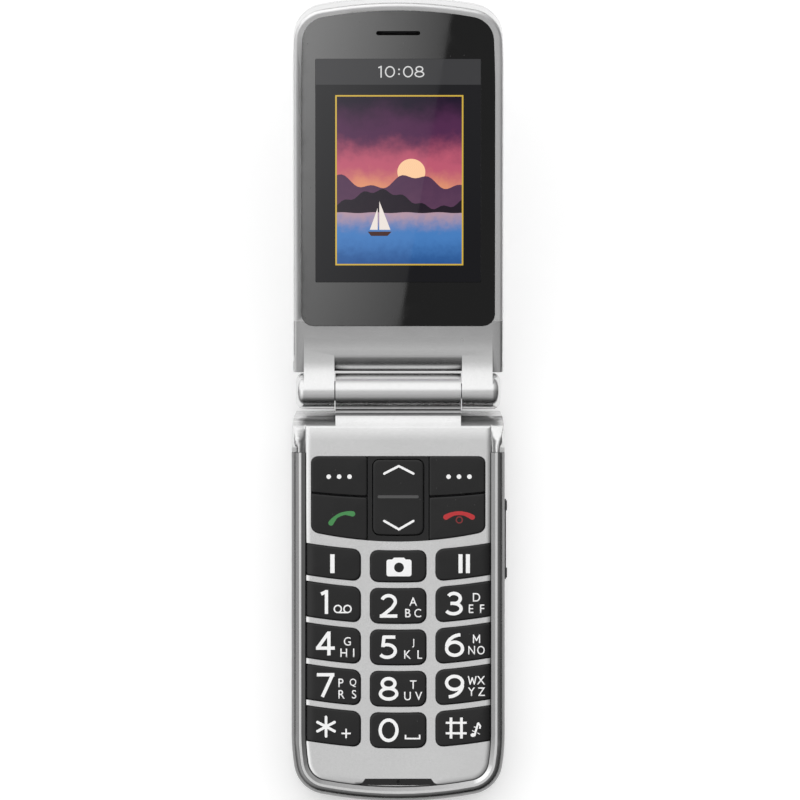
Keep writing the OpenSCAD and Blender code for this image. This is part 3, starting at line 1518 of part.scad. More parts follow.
front_housing();
side_band();
rear_housing();
battery_cover();
nav_plate();
keypad_mat();
dome_sheet();
main_board();
board_shields();
battery();
battery_contacts();
sim_holder();
usb_socket();
loudspeaker();
vibration_motor();
vibration_weight();
microphone();
mic_bumper();
antenna();
volume_rocker();
side_switches();
sos_key();
housing_screws();
hinge_case();
hinge_cam();
hinge_spring();
hinge_shaft();
hinge_bush();
flex_cable();
flex_lid_tail();
key_soft_left();
key_soft_right();
key_call();
key_end();
key_nav();
key_memory_1();
key_camera();
key_memory_2();
digit_key(0, -1);  // key_1
digit_key(0, 0);  // key_2
digit_key(0, 1);  // key_3
digit_key(1, -1);  // key_4
digit_key(1, 0);  // key_5
digit_key(1, 1);  // key_6
digit_key(2, -1);  // key_7
digit_key(2, 0);  // key_8
digit_key(2, 1);  // key_9
digit_key(3, -1);  // key_star
digit_key(3, 0);  // key_0
digit_key(3, 1);  // key_hash
lid_inner_housing();
lid_outer_cover();
display_window();
display_module();
lid_board();
earpiece();
camera_module();
camera_window();
lid_magnet();
lid_screws();
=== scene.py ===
"""Folding mobile phone with large keys, lying open on a pale table, seen from straight above.

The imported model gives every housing, key and hinge piece at its real size. This script gives them
their finish: the shells and keys get smooth rounded meshes, printed legends lie on the keys, and
the lid gets its black window and its lit display. Lengths are in millimetres until a mesh is
finished, and in metres from there on.
"""

import json
import math

import bmesh
import bpy
from mathutils import Matrix, Vector
from mathutils.bvhtree import BVHTree
from mathutils.geometry import delaunay_2d_cdt

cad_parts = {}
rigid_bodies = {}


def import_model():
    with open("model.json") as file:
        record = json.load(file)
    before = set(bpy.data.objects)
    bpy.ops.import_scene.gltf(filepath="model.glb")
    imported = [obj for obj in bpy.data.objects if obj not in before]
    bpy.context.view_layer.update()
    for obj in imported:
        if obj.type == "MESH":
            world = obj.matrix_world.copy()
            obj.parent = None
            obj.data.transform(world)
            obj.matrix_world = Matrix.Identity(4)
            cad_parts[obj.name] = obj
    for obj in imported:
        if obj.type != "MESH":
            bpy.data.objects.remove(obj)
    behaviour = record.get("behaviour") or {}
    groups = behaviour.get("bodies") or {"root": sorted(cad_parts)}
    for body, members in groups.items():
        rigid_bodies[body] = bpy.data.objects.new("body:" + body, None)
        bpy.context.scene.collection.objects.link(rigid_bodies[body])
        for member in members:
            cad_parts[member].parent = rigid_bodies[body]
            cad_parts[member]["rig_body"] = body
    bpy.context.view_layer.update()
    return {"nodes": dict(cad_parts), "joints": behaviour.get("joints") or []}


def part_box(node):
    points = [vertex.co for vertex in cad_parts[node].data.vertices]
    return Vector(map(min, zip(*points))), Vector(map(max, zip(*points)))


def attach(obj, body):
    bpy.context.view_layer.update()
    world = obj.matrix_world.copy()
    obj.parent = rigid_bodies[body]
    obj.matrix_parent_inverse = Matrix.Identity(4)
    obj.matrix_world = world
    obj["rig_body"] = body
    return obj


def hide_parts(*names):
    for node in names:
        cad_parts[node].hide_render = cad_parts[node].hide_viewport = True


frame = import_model()
scene = bpy.context.scene
MM = 0.001

# ---------- sizes that the frame gives ----------


def node_box(node):
    """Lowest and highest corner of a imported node, in millimetres."""
    low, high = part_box(node)
    return low / MM, high / MM


hinge = next(j for j in frame["joints"] if j["name"] == "lid_hinge")
HINGE = Vector(hinge["pos_m"]) / MM
LID_TILT = math.radians(180 - hinge["range_deg"][1])
LID = Matrix.Translation(HINGE) @ Matrix.Rotation(LID_TILT, 4, "X")
KEY_TOP = node_box("key_5")[1].z
BASE_TOP = node_box("side_band")[1].z

KEY_BEVEL = 0.3         # round edge of the key caps
INK = 0.015             # thickness of the printed legends
WINDOW_FACE = -0.4      # height of the window's face above the hinge axis, in the lid's frame
SMOOTH_ANGLE = 34.0     # edges sharper than this many degrees stay sharp on the shells

# ---------- node tools ----------


def link(tree, source, target):
    tree.links.new(source, target)


def add(tree, kind, **values):
    """A node of that kind, with its own settings given by name."""
    node = tree.nodes.new(kind)
    for name, value in values.items():
        setattr(node, name, value)
    return node


def put(tree, socket, value):
    """Sets an input to a value, or links it where the value is a node's output."""
    if isinstance(value, bpy.types.NodeSocket):
        link(tree, value, socket)
    else:
        socket.default_value = value


def feed(tree, node, **inputs):
    """Sets or links inputs of a node; an underscore in a name stands for a space."""
    for name, value in inputs.items():
        put(tree, node.inputs[name.replace("_", " ")], value)
    return node


def math_node(tree, operation, *values):
    node = add(tree, "ShaderNodeMath", operation=operation)
    for socket, value in zip(node.inputs, values):
        put(tree, socket, value)
    return node.outputs[0]


def spread(tree, value, low, high, to_low, to_high):
    """Value carried over from one range to another, held at its ends."""
    node = add(tree, "ShaderNodeMapRange")
    feed(tree, node, Value=value, From_Min=low, From_Max=high, To_Min=to_low, To_Max=to_high)
    return node.outputs["Result"]


def ramp_of(tree, value, stops, joins):
    """Colour read off a ramp through stops of (share, colour)."""
    node = add(tree, "ShaderNodeValToRGB")
    node.color_ramp.interpolation = joins
    while len(node.color_ramp.elements) < len(stops):
        node.color_ramp.elements.new(0.5)
    for element, (at, colour) in zip(node.color_ramp.elements, stops):
        element.position = at
        element.color = (*colour, 1.0)
    link(tree, value, node.inputs[0])
    return node.outputs["Color"]


def curve(tree, value, stops):
    """Value read off a curve through stops of (value, level), with smooth joins."""
    low, high = stops[0][0], stops[-1][0]
    top = max(level for _, level in stops)
    shares = [((at - low) / (high - low), [level / top] * 3) for at, level in stops]
    way = spread(tree, value, low, high, 0.0, 1.0)
    return math_node(tree, "MULTIPLY", ramp_of(tree, way, shares, "B_SPLINE"), top)


def noise(tree, place, scale, detail=3.0, roughness=0.5):
    node = add(tree, "ShaderNodeTexNoise")
    feed(tree, node, Vector=place, Scale=scale, Detail=detail, Roughness=roughness)
    return node.outputs["Fac"]


def mixed(tree, factor, first, second):
    """Colour between the first and the second."""
    node = add(tree, "ShaderNodeMix", data_type="RGBA")
    for place, value in ((0, factor), (6, first), (7, second)):
        put(tree, node.inputs[place], value)
    return node.outputs[2]


def shader_group(name, inputs, outputs):
    """New node group with float inputs that have these values, and outputs of these kinds."""
    tree = bpy.data.node_groups.new(name, "ShaderNodeTree")
    for key, value in inputs.items():
        socket = tree.interface.new_socket(key, in_out="INPUT", socket_type="NodeSocketFloat")
        socket.default_value = value
    for key, kind in outputs.items():
        tree.interface.new_socket(key, in_out="OUTPUT", socket_type=kind)
    return tree, add(tree, "NodeGroupInput").outputs, add(tree, "NodeGroupOutput").inputs


def place_of(tree):
    return add(tree, "ShaderNodeTexCoord").outputs["Object"]


# ---------- effects that several finishes use ----------


def make_mottle():
    """Slow change of gloss where fingers have been, over a finer grain."""
    tree, given, result = shader_group("handled_gloss",
        {"Smudge Scale": 90.0, "Grain Scale": 4000.0, "Low": 0.2, "High": 0.3},
        {"Roughness": "NodeSocketFloat", "Grain": "NodeSocketFloat"})
    place = place_of(tree)
    smudge = noise(tree, place, given["Smudge Scale"], 4.0, 0.6)
    grain = noise(tree, place, given["Grain Scale"], 2.0)
    both = math_node(tree, "MULTIPLY_ADD", grain, 0.25, math_node(tree, "MULTIPLY", smudge, 0.75))
    link(tree, spread(tree, both, 0.35, 0.65, given["Low"], given["High"]), result["Roughness"])
    link(tree, grain, result["Grain"])
    return tree


def make_edge_wear_and_highlight():
    """Mask of the outer edges where the finish has worn, broken up by a noise; the keys also use it for a
    painted highlight along their edges.
    """
    tree, given, result = shader_group("edge_wear_and_highlight",
        {"Width": 0.0002, "Break Scale": 900.0, "Amount": 0.5}, {"Mask": "NodeSocketFloat"})
    bevel = add(tree, "ShaderNodeBevel", samples=4)
    link(tree, given["Width"], bevel.inputs["Radius"])
    true_normal = add(tree, "ShaderNodeNewGeometry").outputs["Normal"]
    agree = add(tree, "ShaderNodeVectorMath", operation="DOT_PRODUCT")
    link(tree, bevel.outputs[0], agree.inputs[0])
    link(tree, true_normal, agree.inputs[1])
    edge = spread(tree, agree.outputs["Value"], 0.995, 0.85, 0.0, 1.0)
    breaks = noise(tree, place_of(tree), given["Break Scale"], 5.0, 0.7)
    broken = spread(tree, breaks, 0.42, 0.6, 0.0, 1.0)
    wear_and_highlight = math_node(tree, "MULTIPLY", math_node(tree, "MULTIPLY", edge, broken), given["Amount"])
    link(tree, wear_and_highlight, result["Mask"])
    return tree


def make_specks():
    """Mask of small specks of dust, scattered sparsely."""
    tree, given, result = shader_group("dust_specks",
        {"Scale": 1400.0, "Share": 0.03, "Amount": 0.3}, {"Mask": "NodeSocketFloat"})
    cells = add(tree, "ShaderNodeTexVoronoi")
    feed(tree, cells, Vector=place_of(tree), Scale=given["Scale"])
    speck = spread(tree, cells.outputs["Distance"], 0.22, 0.12, 0.0, 1.0)
    chance = add(tree, "ShaderNodeSeparateColor")
    link(tree, cells.outputs["Color"], chance.inputs[0])
    chosen = math_node(tree, "LESS_THAN", chance.outputs[0], given["Share"])
    shown = math_node(tree, "MULTIPLY", math_node(tree, "MULTIPLY", speck, chosen), given["Amount"])
    link(tree, shown, result["Mask"])
    return tree


def make_gap_shade():
    """Level that falls where other surfaces stand close by: painted shade in gaps, which darkens the
    colour there.
    """
    tree, given, result = shader_group("painted_gap_shade",
        {"Reach": 0.004, "Darkest": 0.3}, {"Level": "NodeSocketFloat"})
    near = add(tree, "ShaderNodeAmbientOcclusion", samples=8)
    link(tree, given["Reach"], near.inputs["Distance"])
    link(tree, spread(tree, near.outputs["AO"], 0.25, 0.7, given["Darkest"], 1.0), result["Level"])
    return tree


GAP_SHADE = make_gap_shade()
HANDLED = make_mottle()
WEAR_AND_HIGHLIGHT = make_edge_wear_and_highlight()
SPECKS = make_specks()


def use(tree, group, **inputs):
    node = add(tree, "ShaderNodeGroup", node_tree=group)
    return feed(tree, node, **inputs).outputs


# ---------- finishes ----------


def blank(name):
    """New material: its tree and its Principled shader."""
    material = bpy.data.materials.new(name)
    material.use_nodes = True
    return material, material.node_tree, material.node_tree.nodes["Principled BSDF"]


def bump(tree, shader, height, distance, strength):
    node = add(tree, "ShaderNodeBump")
    feed(tree, node, Height=height, Distance=distance, Strength=strength)
    link(tree, node.outputs["Normal"], shader.inputs["Normal"])


def rgb(value, tint=(1.0, 1.0, 1.0)):
    return (value * tint[0], value * tint[1], value * tint[2], 1.0)


def metallic_paint(name, level, low, high):
    """Metallic paint: fine flakes, handled gloss, edges rubbed lighter, a little dust, and painted shade
    in gaps.
    """
    material, tree, shader = blank(name)
    gloss = use(tree, HANDLED, Smudge_Scale=70.0, Grain_Scale=9000.0, Low=low, High=high)
    flakes = add(tree, "ShaderNodeTexVoronoi")
    feed(tree, flakes, Vector=place_of(tree), Scale=9000.0)
    tone = add(tree, "ShaderNodeSeparateColor")
    link(tree, flakes.outputs["Color"], tone.inputs[0])
    flake = spread(tree, tone.outputs[0], 0.0, 1.0, 0.0, 1.0)
    colour = mixed(tree, flake, rgb(level * 0.95), rgb(level * 1.05))
    wear_and_highlight = use(tree, WEAR_AND_HIGHLIGHT, Width=0.00012, Break_Scale=700.0, Amount=0.25)["Mask"]
    colour = mixed(tree, wear_and_highlight, colour, rgb(0.9))
    dust = use(tree, SPECKS, Scale=900.0, Share=0.008, Amount=0.15)["Mask"]
    colour = mixed(tree, dust, colour, rgb(0.55))
    # Painted shade: the colour is darkened towards black where other surfaces stand close.
    gap_shade_level = use(tree, GAP_SHADE, Reach=0.004, Darkest=0.25)["Level"]
    colour = mixed(tree, gap_shade_level, rgb(0.0), colour)
    rough = math_node(tree, "ADD", gloss["Roughness"], math_node(tree, "MULTIPLY", dust, 0.4))
    feed(tree, shader, Base_Color=colour, Roughness=rough, Metallic=1.0)
    bump(tree, shader, gloss["Grain"], 0.000002, 0.5)
    return material


def gloss_black(name, level, low, high, depth=0.000001, ior=1.5, edge=0.07):
    """Black moulded plastic with a polished face: smudges, lighter edges and specks of dust. The edges
    are wear, and where the edge tone is set high, as on the keys, also a painted highlight.
    """
    material, tree, shader = blank(name)
    gloss = use(tree, HANDLED, Smudge_Scale=160.0, Grain_Scale=6000.0, Low=low, High=high)
    wear_and_highlight = use(tree, WEAR_AND_HIGHLIGHT, Width=0.0001, Break_Scale=1500.0, Amount=0.3)["Mask"]
    colour = mixed(tree, wear_and_highlight, rgb(level, (1.0, 0.98, 1.0)), rgb(edge))
    dust = use(tree, SPECKS, Scale=1500.0, Share=0.015, Amount=0.2)["Mask"]
    colour = mixed(tree, dust, colour, rgb(0.22))
    rough = math_node(tree, "ADD", gloss["Roughness"], math_node(tree, "MULTIPLY", dust, 0.3))
    feed(tree, shader, Base_Color=colour, Roughness=rough, IOR=ior)
    bump(tree, shader, gloss["Grain"], depth, 0.6)
    return material


def scaled(colour, factor, more=0.0):
    """The colour made lighter or darker, with its alpha."""
    return [min(1.0, c * factor + more) for c in colour] + [1.0]


def moulded(name, colour, low, high, grain_scale=2500.0, depth=0.00001):
    """Matt moulded plastic or rubber with a fine texture from the mould."""
    material, tree, shader = blank(name)
    gloss = use(tree, HANDLED, Smudge_Scale=120.0, Grain_Scale=grain_scale, Low=low, High=high)
    shade = noise(tree, place_of(tree), 300.0, 3.0)
    base = mixed(tree, shade, scaled(colour, 0.86), scaled(colour, 1.14))
    wear_and_highlight = use(tree, WEAR_AND_HIGHLIGHT, Width=0.00015, Break_Scale=900.0, Amount=0.2)["Mask"]
    base = mixed(tree, wear_and_highlight, base, scaled(colour, 1.7, 0.03))
    feed(tree, shader, Base_Color=base, Roughness=gloss["Roughness"])
    bump(tree, shader, gloss["Grain"], depth, 0.7)
    return material


def plain_metal(name, colour, low, high, brushed=(1.0, 1.0, 1.0)):
    """Bare metal with a grain that can run one way, and a slightly tarnished tone."""
    material, tree, shader = blank(name)
    turn = feed(tree, add(tree, "ShaderNodeMapping"), Vector=place_of(tree), Scale=brushed)
    streak = noise(tree, turn.outputs["Vector"], 3000.0, 3.0, 0.6)
    gloss = use(tree, HANDLED, Smudge_Scale=250.0, Grain_Scale=5000.0, Low=low, High=high)
    base = mixed(tree, streak, scaled(colour, 0.85), scaled(colour, 1.1))
    feed(tree, shader, Base_Color=base, Roughness=gloss["Roughness"], Metallic=1.0)
    bump(tree, shader, streak, 0.000004, 0.5)
    return material


def printed_ink(name, colour):
    """Printed legend: slightly uneven in tone, as screen print is."""
    material, tree, shader = blank(name)
    shade = noise(tree, place_of(tree), 2500.0, 3.0)
    tone = mixed(tree, shade, scaled(colour, 0.94), scaled(colour, 1.0))
    feed(tree, shader, Base_Color=tone, Roughness=spread(tree, shade, 0.3, 0.7, 0.39, 0.51))
    bump(tree, shader, shade, 0.000002, 0.5)
    return material


SILVER = metallic_paint("silver_paint", 0.75, 0.2, 0.26)
BRIGHT_TRIM = metallic_paint("bright_trim", 0.84, 0.14, 0.19)
LID_RIM = metallic_paint("lid_rim", 0.95, 0.4, 0.5)
GREY_BAND = metallic_paint("grey_band", 0.24, 0.24, 0.3)
# Keys: their edge tone is set above plain wear, so the lighter edges are wear and a painted highlight
# round each key.
BLACK = gloss_black("key_black", 0.008, 0.16, 0.26, ior=1.42, edge=0.12)
WHITE_INK = printed_ink("white_ink", (0.95, 0.95, 0.95))

# ---------- points and outlines, in millimetres ----------


def arc(centre, radius, start, end, n):
    """Points on an arc or on a part of an ellipse, from one angle in degrees to another."""
    rx, ry = radius if isinstance(radius, tuple) else (radius, radius)
    turns = [math.radians(start + (end - start) * i / n) for i in range(n + 1)]
    return [Vector((centre[0] + rx * math.cos(t), centre[1] + ry * math.sin(t))) for t in turns]


def ring(centre, radius, n=32):
    return arc(centre, radius, 0, 360, n)[:-1]


def round_rect(x0, x1, y0, y1, r, n=6):
    return (arc((x0 + r, y0 + r), r, 180, 270, n) + arc((x1 - r, y0 + r), r, 270, 360, n)
        + arc((x1 - r, y1 - r), r, 0, 90, n) + arc((x0 + r, y1 - r), r, 90, 180, n))


def polygon(*points):
    return [Vector(p) for p in points]


def sideways(line, d, closed=False):
    """The line moved sideways to its left by d, mitred at its corners."""
    n = len(line)
    moved = []
    for i, point in enumerate(line):
        came = (point - line[i - 1]).normalized() if i or closed else None
        goes = (line[(i + 1) % n] - point).normalized() if i < n - 1 or closed else None
        came, goes = came or goes, goes or came
        side = Vector((-came.y - goes.y, came.x + goes.x)).normalized()
        share = max(side.dot(Vector((-came.y, came.x))), 0.5)
        moved.append(point + side * (d / share))
    return moved


def stroke(line, width, round_ends=False):
    """Outline of a stroke of that width along a line."""
    line = [Vector(p) for p in line]
    left, right = sideways(line, width / 2), sideways(line, -width / 2)
    outline = left + right[::-1]
    if round_ends:
        outline = (left + cap_points(line[-1], line[-1] - line[-2], width)
            + right[::-1] + cap_points(line[0], line[0] - line[1], width))
    return outline


def cap_points(end, way, width):
    """Points round the end of a stroke, from its left side to its right side."""
    heading = math.degrees(math.atan2(way.y, way.x))
    return arc(end, width / 2, heading + 90, heading - 90, 8)[1:-1]


def turned_right(outline):
    """The outline anticlockwise."""
    area = sum(a.x * b.y - b.x * a.y for a, b in zip(outline, outline[1:] + outline[:1]))
    return outline if area > 0 else outline[::-1]


# ---------- meshes ----------


def in_scene(name, data):
    """New object in the scene."""
    thing = bpy.data.objects.new(name, data)
    scene.collection.objects.link(thing)
    return thing


def evaluated(thing):
    """New mesh of an object as its modifiers leave it."""
    bpy.context.view_layer.update()
    graph = bpy.context.evaluated_depsgraph_get()
    return bpy.data.meshes.new_from_object(thing.evaluated_get(graph), depsgraph=graph)


def opened(mesh):
    """A bmesh made from a mesh, which is used up."""
    builder = bmesh.new()
    builder.from_mesh(mesh)
    bpy.data.meshes.remove(mesh)
    return builder


def mesh_of(name, builder):
    """A mesh made from a bmesh, which is used up."""
    mesh = bpy.data.meshes.new(name)
    builder.to_mesh(mesh)
    builder.free()
    return mesh


def plate_of(areas, holes=(), thickness=INK):
    """Flat plate whose area is the union of the areas less the holes, standing on height 0."""
    outlines = [turned_right(list(a)) for a in (*areas, *holes)]
    points = [p for outline in outlines for p in outline]
    faces = []
    count = 0
    for outline in outlines:
        faces.append(list(range(count, count + len(outline))))
        count += len(outline)
    corners, _, tris, _, _, origins = delaunay_2d_cdt(points, [], faces, 1, 1e-5)
    plate = bmesh.new()
    verts = [plate.verts.new((p.x, p.y, 0.0)) for p in corners]
    for tri, covered in zip(tris, origins):
        if covered and all(i < len(areas) for i in covered):
            plate.faces.new([verts[i] for i in tri])
    return thicken(plate, thickness)


def thicken(plate, thickness):
    """Closes a flat mesh into a plate of that thickness."""
    bmesh.ops.delete(plate, geom=[v for v in plate.verts if not v.link_faces], context="VERTS")
    bmesh.ops.dissolve_limit(plate, angle_limit=0.01, verts=plate.verts[:], edges=plate.edges[:])
    grown = bmesh.ops.extrude_face_region(plate, geom=plate.faces[:], use_keep_orig=True)
    top = [v for v in grown["geom"] if isinstance(v, bmesh.types.BMVert)]
    bmesh.ops.translate(plate, verts=top, vec=(0, 0, thickness))
    bmesh.ops.recalc_face_normals(plate, faces=plate.faces[:])
    return plate


def lettering(letter, height, width_share):
    """Plate with one plain capital letter, centred on the origin."""
    written = bpy.data.curves.new("lettering", "FONT")
    written.body = letter
    written.resolution_u = 5
    written.offset = 0.006
    holder = in_scene("lettering", written)
    plate = opened(evaluated(holder))
    bpy.data.objects.remove(holder)
    bpy.data.curves.remove(written)
    bmesh.ops.remove_doubles(plate, verts=plate.verts[:], dist=1e-5)
    low = Vector([min(v.co[k] for v in plate.verts) for k in range(3)])
    high = Vector([max(v.co[k] for v in plate.verts) for k in range(3)])
    scale = height / (high.y - low.y)
    middle = (low + high) / 2
    for v in plate.verts:
        v.co = ((v.co.x - middle.x) * scale * width_share, (v.co.y - middle.y) * scale, 0.0)
    return thicken(plate, INK)


def loft(rings, closed_ends=True):
    """Skin through rings of equally many points, from the first to the last."""
    skin = bmesh.new()
    rows = [[skin.verts.new(p) for p in ring_points] for ring_points in rings]
    n = len(rows[0])
    for low, high in zip(rows, rows[1:]):
        for i in range(n):
            skin.faces.new((low[i], low[(i + 1) % n], high[(i + 1) % n], high[i]))
    if closed_ends:
        skin.faces.new(rows[0][::-1])
        skin.faces.new(rows[-1])
    return skin


def joined(*builders):
    """One bmesh holding all of these."""
    total = bmesh.new()
    for builder in builders:
        part = mesh_of("part", builder)
        total.from_mesh(part)
        bpy.data.meshes.remove(part)
    return total


def shifted(builder, x, y, z=0.0):
    bmesh.ops.translate(builder, verts=builder.verts[:], vec=(x, y, z))
    return builder


def piece(name, builder, material, body, slot=None, place=Matrix.Identity(4), smooth_angle=None):
    """Finished piece from a bmesh in millimetres, put in place, made metres, riding on its body."""
    builder.transform(Matrix.Scale(MM, 4) @ place)
    bmesh.ops.recalc_face_normals(builder, faces=builder.faces[:])
    mesh = mesh_of(name, builder)
    mesh.materials.append(material)
    made = in_scene(name, mesh)
    if smooth_angle is not None:
        smooth(made, smooth_angle)
    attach(made, body)
    return made


def smooth(thing, angle):
    """Smooth shading between edges sharper than the angle, with flat faces kept flat."""
    mesh = thing.data
    for face in mesh.polygons:
        face.use_smooth = True
    mesh.set_sharp_from_angle(angle=math.radians(angle))
    weighting = thing.modifiers.new("flat_faces", "WEIGHTED_NORMAL")
    weighting.keep_sharp = True
    weighting.weight = 60
    settle(thing)


def settle(thing):
    """Makes the result of a piece's modifiers its own plain mesh."""
    result = evaluated(thing)
    old = thing.data
    thing.modifiers.clear()
    thing.data = result
    name = old.name
    bpy.data.meshes.remove(old)
    result.name = name


def merged(node):
    """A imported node's mesh, in millimetres, with its loose triangles joined into larger faces."""
    copy = bmesh.new()
    copy.from_mesh(frame["nodes"][node].data)
    copy.transform(Matrix.Scale(1 / MM, 4))
    bmesh.ops.remove_doubles(copy, verts=copy.verts[:], dist=0.001)
    flat = math.radians(0.4)
    bmesh.ops.dissolve_limit(copy, angle_limit=flat, verts=copy.verts[:], edges=copy.edges[:])
    return copy


def body_of(node):
    return frame["nodes"][node]["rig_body"]


# ---------- shells ----------


def shell(node, material, slot=None, builder=None, name=None, **options):
    """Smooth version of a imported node, which it replaces; plain unless a builder gives its mesh."""
    made = piece(name or node + "_shell", builder or merged(node), material, body_of(node), slot,
        smooth_angle=SMOOTH_ANGLE, **options)
    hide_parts(node)
    return made


def sliced(builder, y):
    """Gives a mesh an edge wherever the plane across it at y meets it."""
    everything = builder.verts[:] + builder.edges[:] + builder.faces[:]
    bmesh.ops.bisect_plane(builder, geom=everything, plane_co=(0, y, 0), plane_no=(0, 1, 0))


ROLL_START = 37.8       # where the base's face begins to fall towards the hinge
ROLL_END = 45.5
ROLL_STEPS = 10
ROLL_BEND = 0.013       # how fast it bends
ROLL_BENT = 4.5         # length over which it bends; it is straight from there on
ROLL_FADE = 0.8         # length before its end over which it fades out
ROLL_FOOT = 8.5         # height under which nothing moves
ROLL_WALL = 1.4         # height above the foot over which the walls come along
BAND_FOOT = 10.0        # height of the band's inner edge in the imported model, and in the finished one
BAND_FOOT_RAISED = 10.5


def front_shell():
    """Front housing whose face falls away softly towards the hinge."""
    copy = merged("front_housing")
    for i in range(ROLL_STEPS):
        sliced(copy, ROLL_START + (ROLL_END - ROLL_START) * i / ROLL_STEPS)
    for v in copy.verts:
        over = v.co.y - ROLL_START
        if 0 < over < ROLL_END - ROLL_START and ROLL_FOOT < v.co.z < BASE_TOP - 0.1:
            share = min((v.co.z - ROLL_FOOT) / ROLL_WALL, 1.0) * min((ROLL_END - v.co.y) / ROLL_FADE, 1.0)
            bent = min(over, ROLL_BENT)
            v.co.z -= share * ROLL_BEND * (bent * bent + 2 * bent * (over - bent))
    return copy


def band_shell():
    """Side band: grey outside, and a bright bevel from its crest down to the face."""
    copy = merged("side_band")
    for v in copy.verts:
        if abs(v.co.z - BAND_FOOT) < 0.01:
            v.co.z = BAND_FOOT_RAISED
    copy.normal_update()
    for face in copy.faces:
        middle = face.calc_center_median()
        outward = face.normal.x * middle.x + face.normal.y * middle.y
        if face.normal.z > 0.3 and outward < 1.0:
            face.material_index = 1
    return copy


RIM_FOOT = 18.0         # distance from the hinge axis at which the rim round the window begins


def lid_shell():
    """Lid's inner housing in the lid's frame, with a softer and lighter finish on the rim."""
    copy = merged("lid_inner_housing")
    copy.transform(LID.inverted())
    sliced(copy, RIM_FOOT)
    copy.normal_update()
    for face in copy.faces:
        middle = face.calc_center_median()
        if face.normal.z > 0.5 and middle.y > RIM_FOOT and middle.z > WINDOW_FACE - 0.9:
            face.material_index = 1
    return copy


def make_shells():
    shell("front_housing", SILVER, "silver_paint", front_shell(), "front_shell")
    band = shell("side_band", GREY_BAND, "bright_band", band_shell(), "band_shell")
    band.data.materials.append(BRIGHT_TRIM)
    shell("rear_housing", SILVER, "silver_paint")
    lid = shell("lid_inner_housing", SILVER, "silver_paint", lid_shell(), place=LID)
    lid.data.materials.append(LID_RIM)
    shell("lid_outer_cover", SILVER, "bright_band")
    shell("mic_bumper", BLACK, "black_gloss")
    cover = moulded("dark_cover", (0.05, 0.05, 0.053), 0.4, 0.52, 3500.0, 0.00002)
    shell("battery_cover", cover)
    shell("volume_rocker", cover)
    shell("sos_key", moulded("red_plastic", (0.5, 0.03, 0.02), 0.25, 0.36, depth=0.000004))
    shell("camera_window", gloss_black("outer_window", 0.006, 0.05, 0.09))


# ---------- keys ----------

CAP_CROWN = 0.05        # height that a key's face rises to its middle
CAP_DEPTH = 1.7         # height of a key's cap, of which the lower part is hidden
SIDE_ROLL = 2.3         # width over which a side key rolls down towards the rim
SIDE_DROP = 0.5         # height that it rolls down by


def side_outline(node):
    """Outline of a key's side, just under its bevel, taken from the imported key."""
    key = merged(node)
    height = KEY_TOP - KEY_BEVEL
    edges = {v.index: [] for v in key.verts}
    for e in key.edges:
        a, b = e.verts
        if abs(a.co.z - height) < 0.01 and abs(b.co.z - height) < 0.01:
            edges[a.index].append(b)
            edges[b.index].append(a)
    key.verts.ensure_lookup_table()
    start = next(v for v in key.verts if len(edges[v.index]) == 2)
    loop = [start, edges[start.index][0]]
    while True:
        step = next(v for v in edges[loop[-1].index] if v is not loop[-2])
        if step is start:
            break
        loop.append(step)
    outline = turned_right([Vector(v.co[:2]) for v in loop])
    key.free()
    return outline


def dense(outline, step=0.45):
    """The outline with points no further apart than the step."""
    points = []
    for a, b in zip(outline, outline[1:] + outline[:1]):
        n = max(1, math.ceil((b - a).length / step))
        points += [a.lerp(b, i / n) for i in range(n)]
    return points


def drawn_in(outline, d):
    """The outline drawn in towards its middle by d at its sides."""
    low = Vector([min(p[k] for p in outline) for k in (0, 1)])
    high = Vector([max(p[k] for p in outline) for k in (0, 1)])
    middle, half = (low + high) / 2, (high - low) / 2
    return [Vector([middle[k] + (p[k] - middle[k]) * (1 - d / half[k]) for k in (0, 1)])
        for p in outline]


def roll_down(x, column, edge_x):
    """Drop of a side key's face near the rim."""
    if column == 0:
        return 0.0
    t = (SIDE_ROLL - (edge_x - column * x)) / SIDE_ROLL
    return SIDE_DROP * (1 - math.sqrt(1 - min(max(t, 0.0), 0.999) ** 2))


def key_cap(node, column=0):
    """Key with a rounded edge and a slightly crowned face, down to its hidden flange."""
    outline = dense(side_outline(node))
    foot = node_box(node)[1].z - CAP_DEPTH
    edge_x = max(abs(p.x) for p in outline)
    half = min(max(p[k] for p in outline) - min(p[k] for p in outline) for k in (0, 1)) / 2
    rings = [[Vector((*p, foot)) for p in outline]]
    steps = [(KEY_BEVEL * (1 - math.cos(a)), KEY_BEVEL * (1 - math.sin(a)) + CAP_CROWN)
        for a in [math.radians(18 * i) for i in range(6)]]
    inner = [KEY_BEVEL + (half * 0.96 - KEY_BEVEL) * (i / 9) ** 1.3 for i in range(1, 10)]
    crown = [(d, CAP_CROWN * (1 - (d - KEY_BEVEL) / (half - KEY_BEVEL)) ** 2) for d in inner]
    for d, drop in steps + crown:
        top = KEY_TOP - drop
        rings.append([Vector((p.x, p.y, top - roll_down(p.x, column, edge_x)))
            for p in drawn_in(outline, d)])
    return loft(rings)


def surface_of(thing):
    """Search tree over a finished piece's mesh, for laying prints on it."""
    mesh = thing.data
    return BVHTree.FromPolygons([v.co for v in mesh.vertices], [p.vertices for p in mesh.polygons])


def finely_cut(plate, longest=0.7):
    """Cuts a plate's edges until it can follow a curved face."""
    bmesh.ops.triangulate(plate, faces=plate.faces[:])
    for _ in range(5):
        long_edges = [e for e in plate.edges if e.calc_length() > longest]
        if not long_edges:
            break
        bmesh.ops.subdivide_edges(plate, edges=long_edges, cuts=1)
        bmesh.ops.triangulate(plate, faces=plate.faces[:])


def laid_on(builder, surface):
    """The plate, which lies at height 0, laid on a surface below it."""
    finely_cut(builder)
    for v in builder.verts:
        hit = surface.ray_cast(Vector((v.co.x * MM, v.co.y * MM, 0.1)), Vector((0, 0, -1)))[0]
        if hit is not None:
            v.co.z += hit.z / MM
    return builder


# ---------- digits as strokes ----------
# A digit is drawn in a frame two units high between the middles of its outer strokes.

